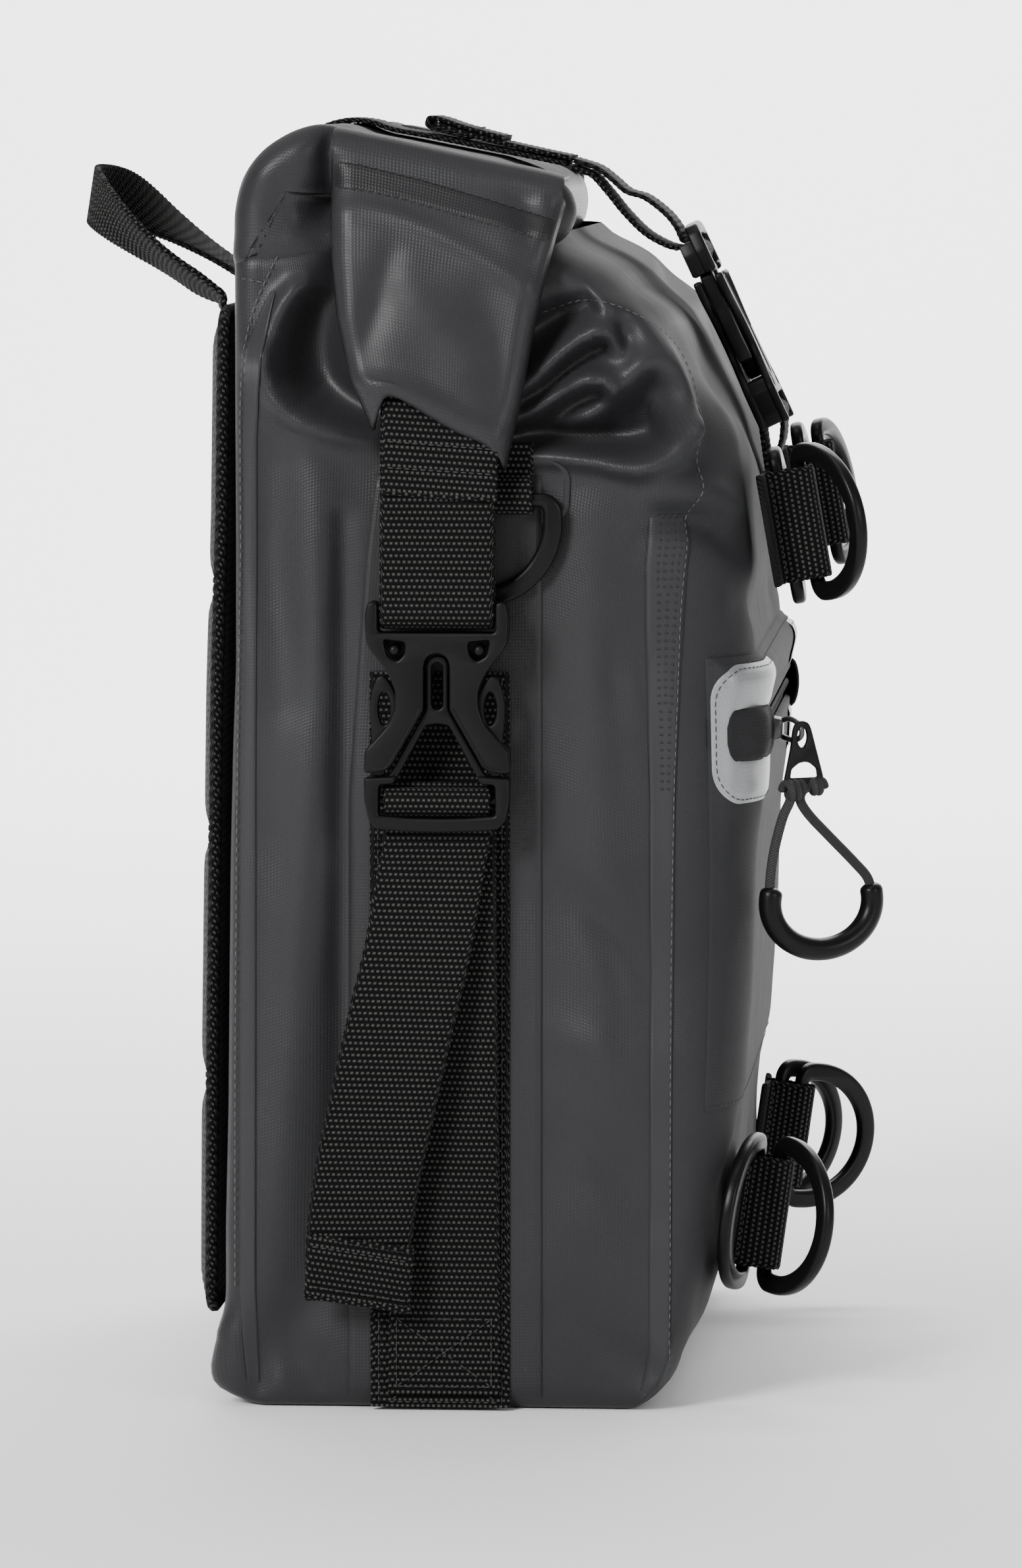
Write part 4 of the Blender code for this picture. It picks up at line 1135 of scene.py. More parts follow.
def make_tail(side):
    """The loose end of the side strap, out of the plug, with its folded and stitched tip."""
    name = SIDE_NAMES[side]
    tail = [(0, BUCKLE_PLANE + out, SIDE_BUCKLE_Z + z) for out, z in side_wrap()]
    tail += [(-3, 163.5, 180), (-7.0, 164.8, 156), (-12, 165.5, 135), (-18, 165.0, 108)]
    tail += [(-23, 164, 85), (-26, 162.8, 66), (-27, 162.2, 54), (-27, 161.6, 38.5)]
    path = out_path(tail, side)
    hanging = smoothed(190, 176, path[:, 2])[:, None]
    straight = np.array([[1.0, 0, 0]]) * (1 - hanging)
    along = unit(np.cross(np.gradient(path, axis=0), (0, 1, 0)))
    along *= np.sign(along[:, :1] + 1e-9)
    along[:, 1] += side * -0.10 * smoothed(150, 60, path[:, 2])
    fold = out_path([(-25.6, 164.5, 58), (-26.6, 164.4, 47), (-27.4, 163.6, 38.4)], side)
    turned = out_path([(-44.4, 163.8, 40.6), (-10.0, 162.4, 35.6)], side, 0.6)
    upper = out_path([(-43.0, 165.6, 60.4), (-8.6, 163.8, 55.6)], side, 0.6)
    rows = [
        band("strap", path, straight + along * hanging, 35.5),
        band("hem", fold, (1, side * -0.07, -0.15), 35.8, 1.8),
        rod("turned", turned, 1.45, WEBBING),
        rod("upper", upper, 0.95, WEBBING),
    ]
    ends = ((57.2, 52.0), (43.6, 38.6))
    rows += cross_stitches([((-42.4, 166.5, a), (-10.6, 164.4, b)) for a, b in ends], side)
    settle(joined(f"{name}_tail", rows), f"{name}_plug", [f"{name}_strap_tail"])


def make_upper_strap(side):
    """The strap out of the flap, looped through the socket, with the piece sewn over it."""
    name = SIDE_NAMES[side]
    bar = BUCKLE_LENGTH / 2 - SOCKET_BAR
    loop = [(-6.4, 114), (-2.0, 105), (0.2, 96), (1.6, 88), (1.7, 76), (2.2, 62), (4.3, 43)]
    loop += arc((0, bar), (4.3, 4.3), 0, -180, 14)
    loop += [(-4.3, 43), (-2.4, 62), (-1.5, 76), (-2.6, 95), (-8.6, 112)]
    loop = [(0, BUCKLE_PLANE + out, SIDE_BUCKLE_Z + z) for out, z in loop]
    over = [(1, 3.9, 309.4), (1, 3.7, 318), (1, 2.4, 331), (0.4, -1.8, 345)]
    over = [(x, BUCKLE_PLANE + out, z) for x, out, z in over]
    lip = out_path([(-17.6, 168.4, 310.4), (19.6, 168.4, 308.2)], side, 2)
    rows = [
        band("strap", out_path(loop, side), X_WAY),
        band("piece", out_path(over, side), (1, 0, -0.06), WEB + 0.4, 1.7),
        rod("lip", lip, 1.25, WEBBING),
    ]
    lines = ((169.9, 318.4, 316.2), (169.4, 327, 324.5))
    rows += cross_stitches([((-16.5, out, a), (18.5, out, b)) for out, a, b in lines], side)
    settle(joined(f"{name}_strap", rows), "roll", [f"{name}_upper_strap"])


def make_ring_tab(side):
    name = SIDE_NAMES[side]
    tab = [(149.2, 326), (149.3, 318), (149.9, 313)]
    tab += [(SIDE_RING_Y - x, z) for x, z in arc((0, SIDE_RING_Z), (4.2, 4.2), 20, -215, 16)]
    tab += [(155.6, 312.6), (152.0, 315.4), (150.9, 320), (150.7, 326)]
    path = out_path([(SIDE_RING_X, out, z) for out, z in tab], side)
    strap = band("tab", path, X_WAY, 34, 1.4)
    settle(joined(f"{name}_tab", [strap]), "root", [f"{name}_ring_tab"])


# ---- Side-release buckles, in their own frame: X across, Y inwards to the bag, Z up ----


def mirrored(half):
    """A closed outline from its right half."""
    return list(half) + [(-x, v) for x, v in reversed(half) if abs(x) > 0.01]


def upright(points):
    """Outline with heights in place of distances down from the socket's top edge."""
    return [(x, BUCKLE_LENGTH / 2 - v) for x, v in points]


def oval(centre, radii, count=28):
    """A closed outline of an ellipse."""
    return arc(centre, radii, 0, 360 - 360 / count, count - 1)


# Edges of the parts: how far across from the middle and how far below the socket's top edge. These
# are right halves.
SOCKET_EDGE = (
    (19.7, 10.6), (19.7, 0.4), (22.9, 0.2), (24.0, 5), (23.6, 13.5), (22.0, 16.6), (18.5, 20.8),
    (15.4, 25.5), (13.8, 30), (13.9, 35.5), (16, 41), (19.9, 45.5), (24.0, 49.9), (24.3, 57.4),
    (19.9, 57.2), (17.1, 56.6), (15.1, 54.9), (4.9, 37.2), (4.3, 35.8), (4.3, 21), (3.0, 18.2),
    (0, 17.2),
)


def handed(points, hand):
    """Points of the right half, or with a hand of -1 the left half."""
    return [(hand * x, *rest) for x, *rest in points]


def make_socket(place, matrix, body):
    edge = upright(rounded(mirrored(((0, 10.6),) + SOCKET_EDGE), 1.6))
    window = [(10.4, 13.6), (17.8, 12.8), (16.6, 18.2), (13.2, 20.2), (10.8, 17.8)]
    holes = [upright(rounded(handed(window, hand), 1.2)) for hand in (1, -1)]
    bar = upright([(-20.2, 2.2), (20.2, 2.2), (20.2, 6.3), (-20.2, 6.3)])
    header = upright([(-20, 10.9), (20, 10.9), (20, 12.6), (-20, 12.6)])
    wall = [(19.9, 1.0), (22.6, 0.9), (23.6, 5), (23.2, 13.3), (21.6, 16.4), (20.3, 18)]
    top, post_z = BUCKLE_LENGTH / 2, BUCKLE_LENGTH / 2 - 16.4
    parts = [
        moulding("front", [edge] + holes, -SOCKET_THICK, -2.7, PLASTIC, 0.8, matrix),
        moulding("rear", [edge], 2.7, SOCKET_THICK, PLASTIC, 0.8, matrix),
        moulding("bar", [bar], -2, 2, PLASTIC, 1.2, matrix),
        moulding("header", [header], -3.2, 3.2, PLASTIC, 0.3, matrix),
    ]
    for hand in (1, -1):
        outline = upright(rounded(handed(wall, hand), 0.8))
        parts.append(moulding("wall", [outline], -4.6, 4.6, PLASTIC, 0.5, matrix))
        post = handed([(14.2, -4.4, post_z), (14.2, 2.9, post_z)], hand)
        parts.append(placed(rod("post", even(np.array(post), 1.0), 1.7, PLASTIC, 20), matrix))
        lip = [(4.6, 36.5), (14.6, 54.2), (17.2, 56.2), (20, 56.6)]
        line = through([(hand * x, -5.35, top - v) for x, v in lip], 0.8)
        line = line + (hand * 0.9, 0, 0.5)
        parts.append(placed(rod("bead", line, 0.45, PLASTIC, 8), matrix))
    made = joined(f"{place}_socket", parts)
    settle(made, body, [f"{place}_buckle_socket"])


TONGUE = (
    (0, 18.2), (2.5, 18.8), (3.6, 20.8), (3.7, 36.4), (16.8, 59.4), (16.8, 61.2), (14.2, 60.4),
    (3.9, 41.5), (0, 41),
)
PLUG_FRAME = (
    (13.4, 58.4), (24.4, 59.0), (24.2, 67), (22.8, 73.4), (20.4, 76.2), (10, 77.0), (0, 77.2),
)
PLUG_OPENING = ((14.4, 61.0), (19.4, 61.4), (19.5, 71.6), (10, 72.4), (0, 72.6))
PLUG_SIDE = (
    (13.6, 58.6), (24.2, 59.2), (24.0, 67), (22.8, 71.4), (19.5, 71.2), (19.4, 61.4), (14.4, 61.0),
)
ARM_EDGE = (
    (17.8, 24.8), (20.2, 25.6), (21.8, 30), (22.6, 34.6), (22.4, 40), (21.7, 46), (21.5, 58.8),
    (17.6, 58.8), (17.8, 51), (16.6, 46.5), (13.8, 41.4), (12.9, 37), (13.1, 33), (15.2, 28.2),
)


def make_plug(place, matrix):
    leg = upright(rounded(mirrored(TONGUE), 1.0))
    slit = upright(arc((0, 22.4), (1.9, 1.9), 180, 360, 8) + arc((0, 34.4), (1.9, 1.9), 0, 180, 8))
    outline = list(PLUG_FRAME) + handed(reversed(PLUG_FRAME[:-1]), -1)
    outline += handed(PLUG_OPENING, -1) + list(reversed(PLUG_OPENING[:-1]))
    frame_edge = upright(rounded(outline, 1.1))
    parts = [
        moulding("tongue", [leg, slit], -ARM_LAYER, ARM_LAYER, PLASTIC, 0.6, matrix),
        moulding("frame", [frame_edge], -FRAME_THICK, 0.2, PLASTIC, 0.9, matrix),
    ]
    for hand in (1, -1):
        half = upright(rounded(handed(PLUG_SIDE, hand), 0.8))
        parts.append(moulding("side", [half], -0.6, FRAME_THICK, PLASTIC, 0.5, matrix))
    bar_z = BUCKLE_LENGTH / 2 - PLUG_BAR
    bar = even(np.array([(-20.5, 0, bar_z), (20.5, 0, bar_z)]), 2)
    parts.append(placed(rod("bar", bar, 1.65, PLASTIC, 16), matrix))
    made = joined(f"{place}_plug_frame", parts)
    settle(made, f"{place}_plug", [f"{place}_buckle_plug"])


def make_arm(place, matrix, label, hand):
    outline = upright(rounded(handed(ARM_EDGE, hand), 1.6))
    hole = upright(handed(oval((17.7, 36.0), (2.1, 5.6)), hand))
    name = f"{place}_{label}"
    made = moulding(name, [outline, hole], -ARM_LAYER, ARM_LAYER, PLASTIC, 0.6, matrix)
    settle(made, name, [f"{place}_buckle_{label}"])


def side_buckle_matrix(side):
    turn = Matrix.Rotation(0 if side == RIGHT else math.pi, 4, "Z")
    return Matrix.Translation(Vector((0, side * BUCKLE_PLANE, SIDE_BUCKLE_Z)) * MM) @ turn


def front_buckle_matrix():
    """The front buckle hangs with its plug on top, leaning back with the front of the bag."""
    lean_s, lean_c = math.sin(FRONT_BUCKLE_LEAN), math.cos(FRONT_BUCKLE_LEAN)
    turn = Matrix(((0, -lean_c, lean_s), (-1, 0, 0), (0, -lean_s, -lean_c))).to_4x4()
    return Matrix.Translation(Vector(FRONT_BUCKLE) * MM) @ turn


def make_buckle(place, matrix, socket_body):
    make_socket(place, matrix, socket_body)
    make_plug(place, matrix)
    make_arm(place, matrix, "arm_a", 1)
    make_arm(place, matrix, "arm_b", -1)


# ---- D-rings ----

RING_DEPTH, RING_HALF_HEIGHT = 38.0, 27.0
RING_THICK = 2.25
RING_RIM = 6.5
BAR_INNER, BAR_OUTER = 5.9, 13.2
LOOP_RADIUS = 4.4
LOOP_Y = 105.0
LOOPS = {"upper": (294.5, math.radians(10), 3.2), "lower": (64.0, math.radians(-8), 2.2)}
LOOP_FACES = {"upper": 104.9, "lower": 94.5}
RING_ANGLES = {
    ("upper", RIGHT): (90, -57),
    ("lower", RIGHT): (-102, -55),
    ("upper", LEFT): (88, 77),
    ("lower", LEFT): (50, 38),
}
SIDE_RING_X, SIDE_RING_Z, SIDE_RING_Y = 14.0, 307.0, 153.6
SIDE_RING_TILT = math.radians(3.5)


def make_ring(name, matrix, body):
    """A D-ring: its straight bar lies on Z at the origin and its bow reaches out along X."""
    inner_half = RING_HALF_HEIGHT - RING_RIM
    reach = RING_DEPTH - RING_THICK
    outer = arc((7, 0), (reach - 7, RING_HALF_HEIGHT), -90, 90, 40)
    outer += arc((4.75, RING_HALF_HEIGHT - 7), (7, 7), 90, 180, 8)
    outer += arc((4.75, 7 - RING_HALF_HEIGHT), (7, 7), 180, 270, 8)
    inner = arc((6, 0), (reach - RING_RIM - 6, inner_half), -90, 90, 36)
    inner += arc((RING_THICK + 1.5, inner_half - 1.5), (1.5, 1.5), 90, 180, 4)
    inner += arc((RING_THICK + 1.5, 1.5 - inner_half), (1.5, 1.5), 180, 270, 4)
    made = moulding(name, [outer, inner], -RING_THICK, RING_THICK, RING_PLASTIC, 1.5, matrix)
    settle(made, body, [body])


def loop_matrix(row, side):
    """Frame of a front loop: X out of the bag, Z along the bars."""
    height, lean, standoff = LOOPS[row]
    turn = Matrix.Rotation(-lean, 4, "Y")
    out = turn @ Vector((standoff, 0, 0))
    return Matrix.Translation((Vector((LOOP_FACES[row], side * LOOP_Y, height)) + out) * MM) @ turn


def make_rings():
    end = arc((BAR_OUTER, 0), (LOOP_RADIUS, LOOP_RADIUS), -90, 90, 16)
    loop = [(0.2, -17), (1, -12), (1, -6.6), (2.6, -LOOP_RADIUS), (6, -LOOP_RADIUS)] + end
    loop += [(6, LOOP_RADIUS), (2.6, LOOP_RADIUS), (1, 6.6), (1, 12), (0.2, 17)]
    for (row, side), angles in RING_ANGLES.items():
        matrix = loop_matrix(row, side)
        name = f"{row}_{SIDE_NAMES[side]}"
        rows = [band("loop", through([(x, y, 0) for x, y in loop], 0.55), (0, 0, 1))]
        for y in (-7.8, 7.8):
            line = np.array([(3.72, y, -16), (3.72, y, 16)])
            rows.append(stitches(line, (1, 0, 0), 2.6, 1.9, 0.3))
        made = placed(joined(f"{name}_loop", rows), matrix)
        settle(made, "root", [f"{name}_ring_loop"])
        for label, bar, angle in zip(("inner", "outer"), (BAR_INNER, BAR_OUTER), angles):
            turn = Matrix.Rotation(math.radians(angle), 4, "Z")
            place = matrix @ Matrix.Translation((bar * MM, 0, 0)) @ turn
            make_ring(f"{name}_{label}_bow", place, f"{name}_{label}_ring")
    for side in (RIGHT, LEFT):
        name = SIDE_NAMES[side]
        place = Matrix.Translation(Vector((SIDE_RING_X, side * SIDE_RING_Y, SIDE_RING_Z)) * MM)
        tilt = Matrix.Rotation(-side * SIDE_RING_TILT, 4, "X")
        hang = tilt @ Matrix.Rotation(math.radians(90), 4, "Y")
        make_ring(f"{name}_side_bow", place @ hang, f"{name}_side_ring")


# ---- Strap over the top ----


def make_top_strap():
    """The strap from the back to the front buckle, in sections, and the short one under it."""

    def strap(name, points, width=WEB):
        """Webbing along places given by X and Z."""
        return band(name, through([(x, 0, z) for x, z in points], 0.55), (0, 1, 0), width)

    back = [(-72.2, 378), (-72.0, 388), (-71.8, 402), (-69.4, 413.8), (-63.2, 422.6), (-54, 429.3)]
    back += [(-44, 432.6), (-35, 432.2), (-27, 429.6), (-14, 427.2), (4, 423.6), (20, 420.4)]
    back += [(33.6, 417.6)]
    settle(strap("over_strap", back), "roll", ["front_strap_back"])

    front = [(34.6, 416.6), (39.5, 414.9), (43.2, 413), (48.5, 407), (54, 400.3), (61, 393.5)]
    front += [(68, 389.5), (72.4, 388.2)]
    made = strap("bridge_strap", front)
    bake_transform(made)
    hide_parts("front_strap_front")

    matrix = front_buckle_matrix()
    wrap = [moved(matrix, (0, -out, z)) for out, z in side_wrap()[1:]]
    tail = [(point.x, point.z) for point in wrap]
    tail += [(68, 400.5), (61, 405.8), (54.5, 408), (49.5, 412.2), (44, 416.2), (36.2, 418.8)]
    made = strap("tail_strap", tail)
    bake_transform(made)
    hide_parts("front_strap_tail_front")

    end = [(35.4, 419.6), (24, 422.0), (8, 425.6), (-3, 428.4), (-9, 430.4), (-12.6, 431.4)]
    over = [(12, 426.6), (4, 428.6), (-4, 430.9), (-9.5, 432.8), (-13.6, 433.6), (-14.9, 432.4)]
    over += [(-14.2, 430.6), (-9, 429.2), (-1, 427.0)]
    tip = [strap("end", end), strap("over", over, WEB + 0.6)]
    line = np.array([(3, -15, 430.0), (3, 15, 430.0)], float)
    tip.append(stitches(line, (0.2, 0, 1), 2.6, 1.9, 0.3))
    settle(joined("strap_tip", tip), "roll", ["front_strap_tail_end"])

    bar = moved(matrix, (0, 0, BUCKLE_LENGTH / 2 - SOCKET_BAR))
    lean = math.degrees(FRONT_BUCKLE_LEAN)
    turn = arc((bar.x, bar.z), (4.3, 4.3), 180 + lean, lean, 16)
    lower = [(106.0, 293), (105.4, 301), (103.6, 314)] + turn
    lower += [(109, 322), (106.8, 314), (107.8, 301), (107.8, 293)]
    made = strap("socket_strap", lower)
    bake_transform(made)
    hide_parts("front_strap_lower")


# ---- Back ----

PAD_HALF, PAD_BOTTOM, PAD_TOP = 128.0, 33.0, 366.0
CHANNELS = (116.0, 200.0, 284.0)  # heights of the channels sewn across the pad


def edge_x(z):
    """X of the middle of the pad's bound edge, which leans away from the bag towards its foot."""
    return np.interp(z, (35, 120, 240, 300, 370), (-79.6, -79.0, -77.2, -75.4, -74.4))


def pad_form():
    """Cushion of mesh over foam: crowned between its rim and the sewn channels."""
    half, low, high = PAD_HALF + 2, PAD_BOTTOM - 2, PAD_TOP + 2
    grid_y, grid_z = np.meshgrid(np.linspace(-half, half, 96), np.linspace(low, high, 124))
    rim = np.minimum(half - abs(grid_y), np.minimum(grid_z - low, high - grid_z))
    crown = 1 - (1 - np.clip(rim / 16, 0, 1)) ** 2
    face = edge_x(grid_z) - 1.0 - 4.6 * crown
    for height in CHANNELS:
        bow = height - 10 * (grid_y / PAD_HALF) ** 2
        face += 2.6 * np.exp(-(((grid_z - bow) / 5.5) ** 2)) * crown
    for y in (-44, 44):
        face += 2.2 * np.exp(-(((grid_y - y) / 6.0) ** 2)) * crown
    face = np.stack([face, grid_y, grid_z], -1)
    back = np.stack([edge_x(grid_z) + 1.4, grid_y, grid_z], -1)
    return face, back


def make_pad():
    face, back = pad_form()
    sheets = [grid_mesh("face", face[:, ::-1]), grid_mesh("rear", back)]
    pad = joined("mesh_pad", [object_from(sheet, PAD_CLOTH) for sheet in sheets])
    bm = bmesh.new()
    bm.from_mesh(pad.data)
    rims = [e for e in bm.edges if e.is_boundary]
    bmesh.ops.bridge_loops(bm, edges=rims)
    bmesh.ops.recalc_face_normals(bm, faces=bm.faces)
    bm.to_mesh(pad.data)
    bm.free()
    pad.data.shade_smooth()
    settle(pad, "root", ["back_pad"])


# Section of the binding over the pad's edge: X from the edge's middle, and how far out from the pad
BINDING_SECTION = (
    (1.6, -3.4), (1.9, 0.6), (0.9, 2.0), (-0.9, 2.2), (-2.2, 1.0), (-2.6, -1.4), (-2.4, -4.2),
    (-1.4, -5.2),
)
BINDING_OUT = 2.6
CORNER_PASSES = 160  # more passes round the binding's corners more


def make_binding():
    reach, low, high = PAD_HALF + BINDING_OUT, PAD_BOTTOM - BINDING_OUT, PAD_TOP + BINDING_OUT
    corners = [(0, low), (reach, low), (reach, high), (-reach, high), (-reach, low), (0, low)]
    loop = []
    for (ay, az), (by, bz) in zip(corners, corners[1:]):
        steps = max(2, int(math.hypot(by - ay, bz - az) / 0.6))
        shares = [k / steps for k in range(steps)]
        loop += [(ay + (by - ay) * share, az + (bz - az) * share) for share in shares]
    loop = np.array(loop)
    for _ in range(CORNER_PASSES):
        loop = (np.roll(loop, 1, 0) + loop + np.roll(loop, -1, 0)) / 3
    tangent = np.roll(loop, -1, 0) - np.roll(loop, 1, 0)
    out = unit(np.stack([tangent[:, 1], -tangent[:, 0]], 1))
    rib = 0.22 * np.cos(2 * math.pi * np.arange(len(loop)) * 0.6 / RIB)
    middle = edge_x(loop[:, 1])
    rings = []
    for x, away in BINDING_SECTION:
        spot = loop + out * (away + rib * (away > 0))[:, None]
        face = middle + x - rib * (away <= 0 and x < -2)
        rings.append(np.column_stack([face, spot]))
    grid = np.array(rings).transpose(1, 0, 2)
    grid = np.concatenate([grid, grid[:1]])
    tape = object_from(grid_mesh("binding", grid, wrap=True), WEBBING)
    line = np.column_stack([middle - 2.6, loop - out * 2.6])
    thread = stitches(np.concatenate([line, line[:1]]), (-1, 0, 0), 3.0, 2.1, 0.28)
    settle(joined("pad_edge", [tape, thread]), "root", ["pad_binding"])


def make_handle():
    """A loop of webbing that leans back, flat at its roots and twisted upright round its tip."""
    turns = np.linspace(0, math.pi, 320)
    reach = np.sin(turns)
    back, up = -84.0 - 50.0 * reach**0.85, 372 + 35 * reach**0.95
    path = np.column_stack([back, -50 * np.cos(turns), up])
    path += smoothed(-6, 40, path[:, 1])[:, None] * (4.0, 0.0, 3.0)
    roots = [[(-79.5, y, 359), (-82, y, 364), (-83.6, y, 369)] for y in (-50, 50)]
    path = even(np.concatenate([roots[0], path, roots[1][::-1]]), 0.55)
    share = np.linspace(-1, 1, len(path))
    lean = (24 - 14 * smoothed(0.1, 0.5, share)) * smoothed(1.0, 0.74, abs(share))
    tilt = np.radians(lean + 62 * smoothed(0.75, 0.12, abs(share)))[:, None]
    tangent = unit(np.gradient(path, axis=0))
    tip = np.array([0.22, 0, 0.975])
    upwards = unit(tip - tangent * (tangent @ tip)[:, None])
    level = np.cross(upwards, tangent)
    across = upwards * np.sin(tilt) + level * np.cos(tilt)
    settle(band("carry_loop", path, across, 20, 2.2), "haul_handle", ["haul_handle"])


# ---- Front pocket and its zip ----

POCKET_LOW, POCKET_HIGH = 100.0, 254.0
POCKET_TURN = math.radians(60)
ZIP_Z = 228.0
GAP_LOW, GAP_HIGH = 223.2, 232.8  # edges of the pocket's fabric below and above the zip


def front_point(q, z, lift):
    """Points of the right half's front, past the corner seam. q counts from the seam."""
    return body_point(section_at(z)[1] + q, z, lift)


def pocket_lift(q, z):
    """How far the pocket's outside stands off the body."""
    ends = smoothed(0, 13, q - FRONT_CORNER * (math.pi / 2 - POCKET_TURN))
    rows = np.minimum(np.clip((z - POCKET_LOW) / 10, 0, 1), np.clip((POCKET_HIGH - z) / 9, 0, 1))
    share = np.minimum(ends, rows)
    puff = 1.6 * smoothed(236, 246, z) * (1 - smoothed(248, 254, z)) * ends
    return 0.4 + (0.9 + 2.6 * smoothed(182, 214, z)) * np.sin(share * math.pi / 2) + puff


def grown(points):
    """Right and left halves of a grid whose last column is the middle of the front."""
    other = points[:, :-1][:, ::-1] * (1, -1, 1)
    return np.concatenate([points, other], 1)


def make_pocket():
    start = FRONT_CORNER * (math.pi / 2 - POCKET_TURN)
    middle = FRONT_CORNER * math.pi / 2 + HALF_WIDTH - FRONT_CORNER
    columns = np.r_[np.linspace(start, start + 46, 44)[:-1], np.linspace(start + 46, middle, 34)]
    low = np.r_[POCKET_LOW, np.linspace(POCKET_LOW + 0.6, 216, 50), 219, 221, 222.4, GAP_LOW]
    high = np.r_[GAP_HIGH, 233.6, 235, 237, np.linspace(239, POCKET_HIGH - 0.4, 14), POCKET_HIGH]
    zip_end = start + 11
    panels = []
    for heights in (low, high):
        rows = []
        for z in heights:
            lift = pocket_lift(columns, z)
            if z in (POCKET_LOW, POCKET_HIGH):
                lift = lift - 1.2
            if abs(z - ZIP_Z) < 4.85:
                lift = lift - 1.6 * (columns > zip_end)
            lift[0] -= 0.8
            rows.append(front_point(columns, z, lift))
        panels.append(object_from(grid_mesh("panel", grown(np.array(rows))), FABRIC))
    ends = columns[columns < zip_end + 1.2]
    rows = [front_point(ends, z, pocket_lift(ends, z)) for z in np.linspace(GAP_LOW, GAP_HIGH, 6)]
    for side in (RIGHT, LEFT):
        panels.append(object_from(grid_mesh("end", mirrored_y(rows, side)), FABRIC))
    for z in (POCKET_LOW + 2.2, POCKET_HIGH - 2.4):
        line = front_point(columns, z, pocket_lift(columns, z) + 0.1)
        for side in (RIGHT, LEFT):
            panels.append(stitches(mirrored_y(line, side), (1, 0, 0), 3.2, 2.0, 0.2))
    settle(joined("pocket_panel", panels), "root", ["front_pocket"])
    make_zip(columns[columns > zip_end - 3])


def make_zip(tape_q):
    rows = [front_point(tape_q, z, 1.5) for z in np.linspace(221.5, 234.5, 7)]
    tape = object_from(grid_mesh("tape", grown(np.array(rows))), CORD)
    coil = front_point(tape_q, ZIP_Z, 2.0)
    coil = through(np.concatenate([coil, coil[:-1][::-1] * (1, -1, 1)]), 0.8)
    teeth = 1.2 + 0.3 * np.cos(np.arange(len(coil)) * 2 * math.pi * 0.8 / 1.6)
    chain = rod("coil", coil, teeth, PLASTIC, 10)
    settle(joined("zip_coil", [tape, chain]), "root", ["zip_chain"])


def ring_band(outer, inner, lift, finish, side):
    """A flat band on the front between two outlines of q and height."""
    outer, inner = np.array(outer), np.array(inner)
    rows = []
    for share in np.linspace(0, 1, 9):
        q, z = (outer + (inner - outer) * share).T
        edge = -0.6 if share in (0, 1) else 0.0
        rows.append(front_point(q, z, pocket_lift(q, z) + lift + edge))
    return object_from(grid_mesh("film", mirrored_y(rows, side)), finish)


def c_outline(left, right, low, high, radius):
    """Open outline of a C that opens away from the corner seam, from its top end to its low end."""
    straight = np.linspace(right, left + radius, 30)
    points = [(x, high) for x in straight[:-1]]
    points += arc((left + radius, high - radius), (radius, radius), 90, 180, 16)
    points += arc((left + radius, low + radius), (radius, radius), 180, 270, 16)
    points += [(x, low) for x in straight[-2::-1]]
    return points


def make_reflector(side):
    name = SIDE_NAMES[side]
    outer = c_outline(21.6, 76.0, 204.2, 251.2, 12.5)
    inner = c_outline(29.0, 76.0, 219.6, 235.4, 6.0)
    film = ring_band(outer, inner, 0.75, TRIM, side)
    q, z = np.array(c_outline(22.9, 76.0, 205.5, 249.9, 11.5)).T
    line = even(front_point(q, z, pocket_lift(q, z) + 0.8), 1.0)
    thread = stitches(mirrored_y(line, side), (0.8, side * 0.6, 0), 2.8, 1.9, 0.2)
    pieces = joined(f"{name}_film", [film, thread])
    settle(pieces, "root", [f"{name}_reflector"])


def make_garage(side):
    """The cover of fabric over the end of the zip."""
    rows = []
    shares = np.linspace(0, 1, 16)
    for q in np.linspace(26.8, 55.0, 28):
        roundness = math.sqrt(max(0.1, 1 - max(0.0, (30.6 - q) / 4.0) ** 2))
        reach = 8.6 * min(1.0, roundness)
        z = 227.4 - reach + 2 * reach * shares
        bulge = 2.6 * np.sin(shares * math.pi) ** 0.5 * smoothed(28, 36, q) + 0.8 * math.sin(q / 3)
        rows.append(front_point(np.full(16, q), z, pocket_lift(q, z) + 0.9 + bulge))
    cover = object_from(grid_mesh("cover", mirrored_y(rows, side)), FABRIC_DARK)
    settle(joined(f"{SIDE_NAMES[side]}_garage", [thickened(cover, 0.9)]), "root")


# ---- Pull of the zip ----

PULL_TURN = math.radians(30)
PULL_TOP = (118.4, -120.0, 229.4)
SLIDER_Y = -111.5
# The cord's two strands, from the knots down to the grip and up again
CORD_BACK = ((-1.8, -21.5), (-2.9, -25.6), (-5.6, -31), (-8.8, -42), (-10.3, -52))
CORD_FRONT = (
    (27.0, -52.6), (21.6, -46.8), (12.1, -37.8), (4.6, -30.5), (1.2, -25.6), (1.8, -22.4),
    (4.4, -20.8), (7.4, -20.8),
)
TAB_EDGE = (
    (-1.8, -1.3), (-0.8, 0.9), (1.6, 1.8), (4.0, 0.9), (5.0, -1.3), (6.8, -7.6), (9.4, -16.6),
    (9.7, -18.2), (8.2, -19.6), (-3.6, -19.6), (-5.0, -18.2), (-4.6, -16.6), (-2.6, -7.6),
)
TAB_LOW_HOLE = (
    (-3.0, -17.6), (-2.5, -14.6), (0.2, -12.7), (2.4, -12.3), (4.6, -12.7), (7.2, -14.6),
    (7.7, -17.6),
)
# Middle, radius and width of each knot's coil
KNOTS = ((-1.6, -21.8, 2.5, 5.6), (7.2, -20.8, 1.8, 4.6))


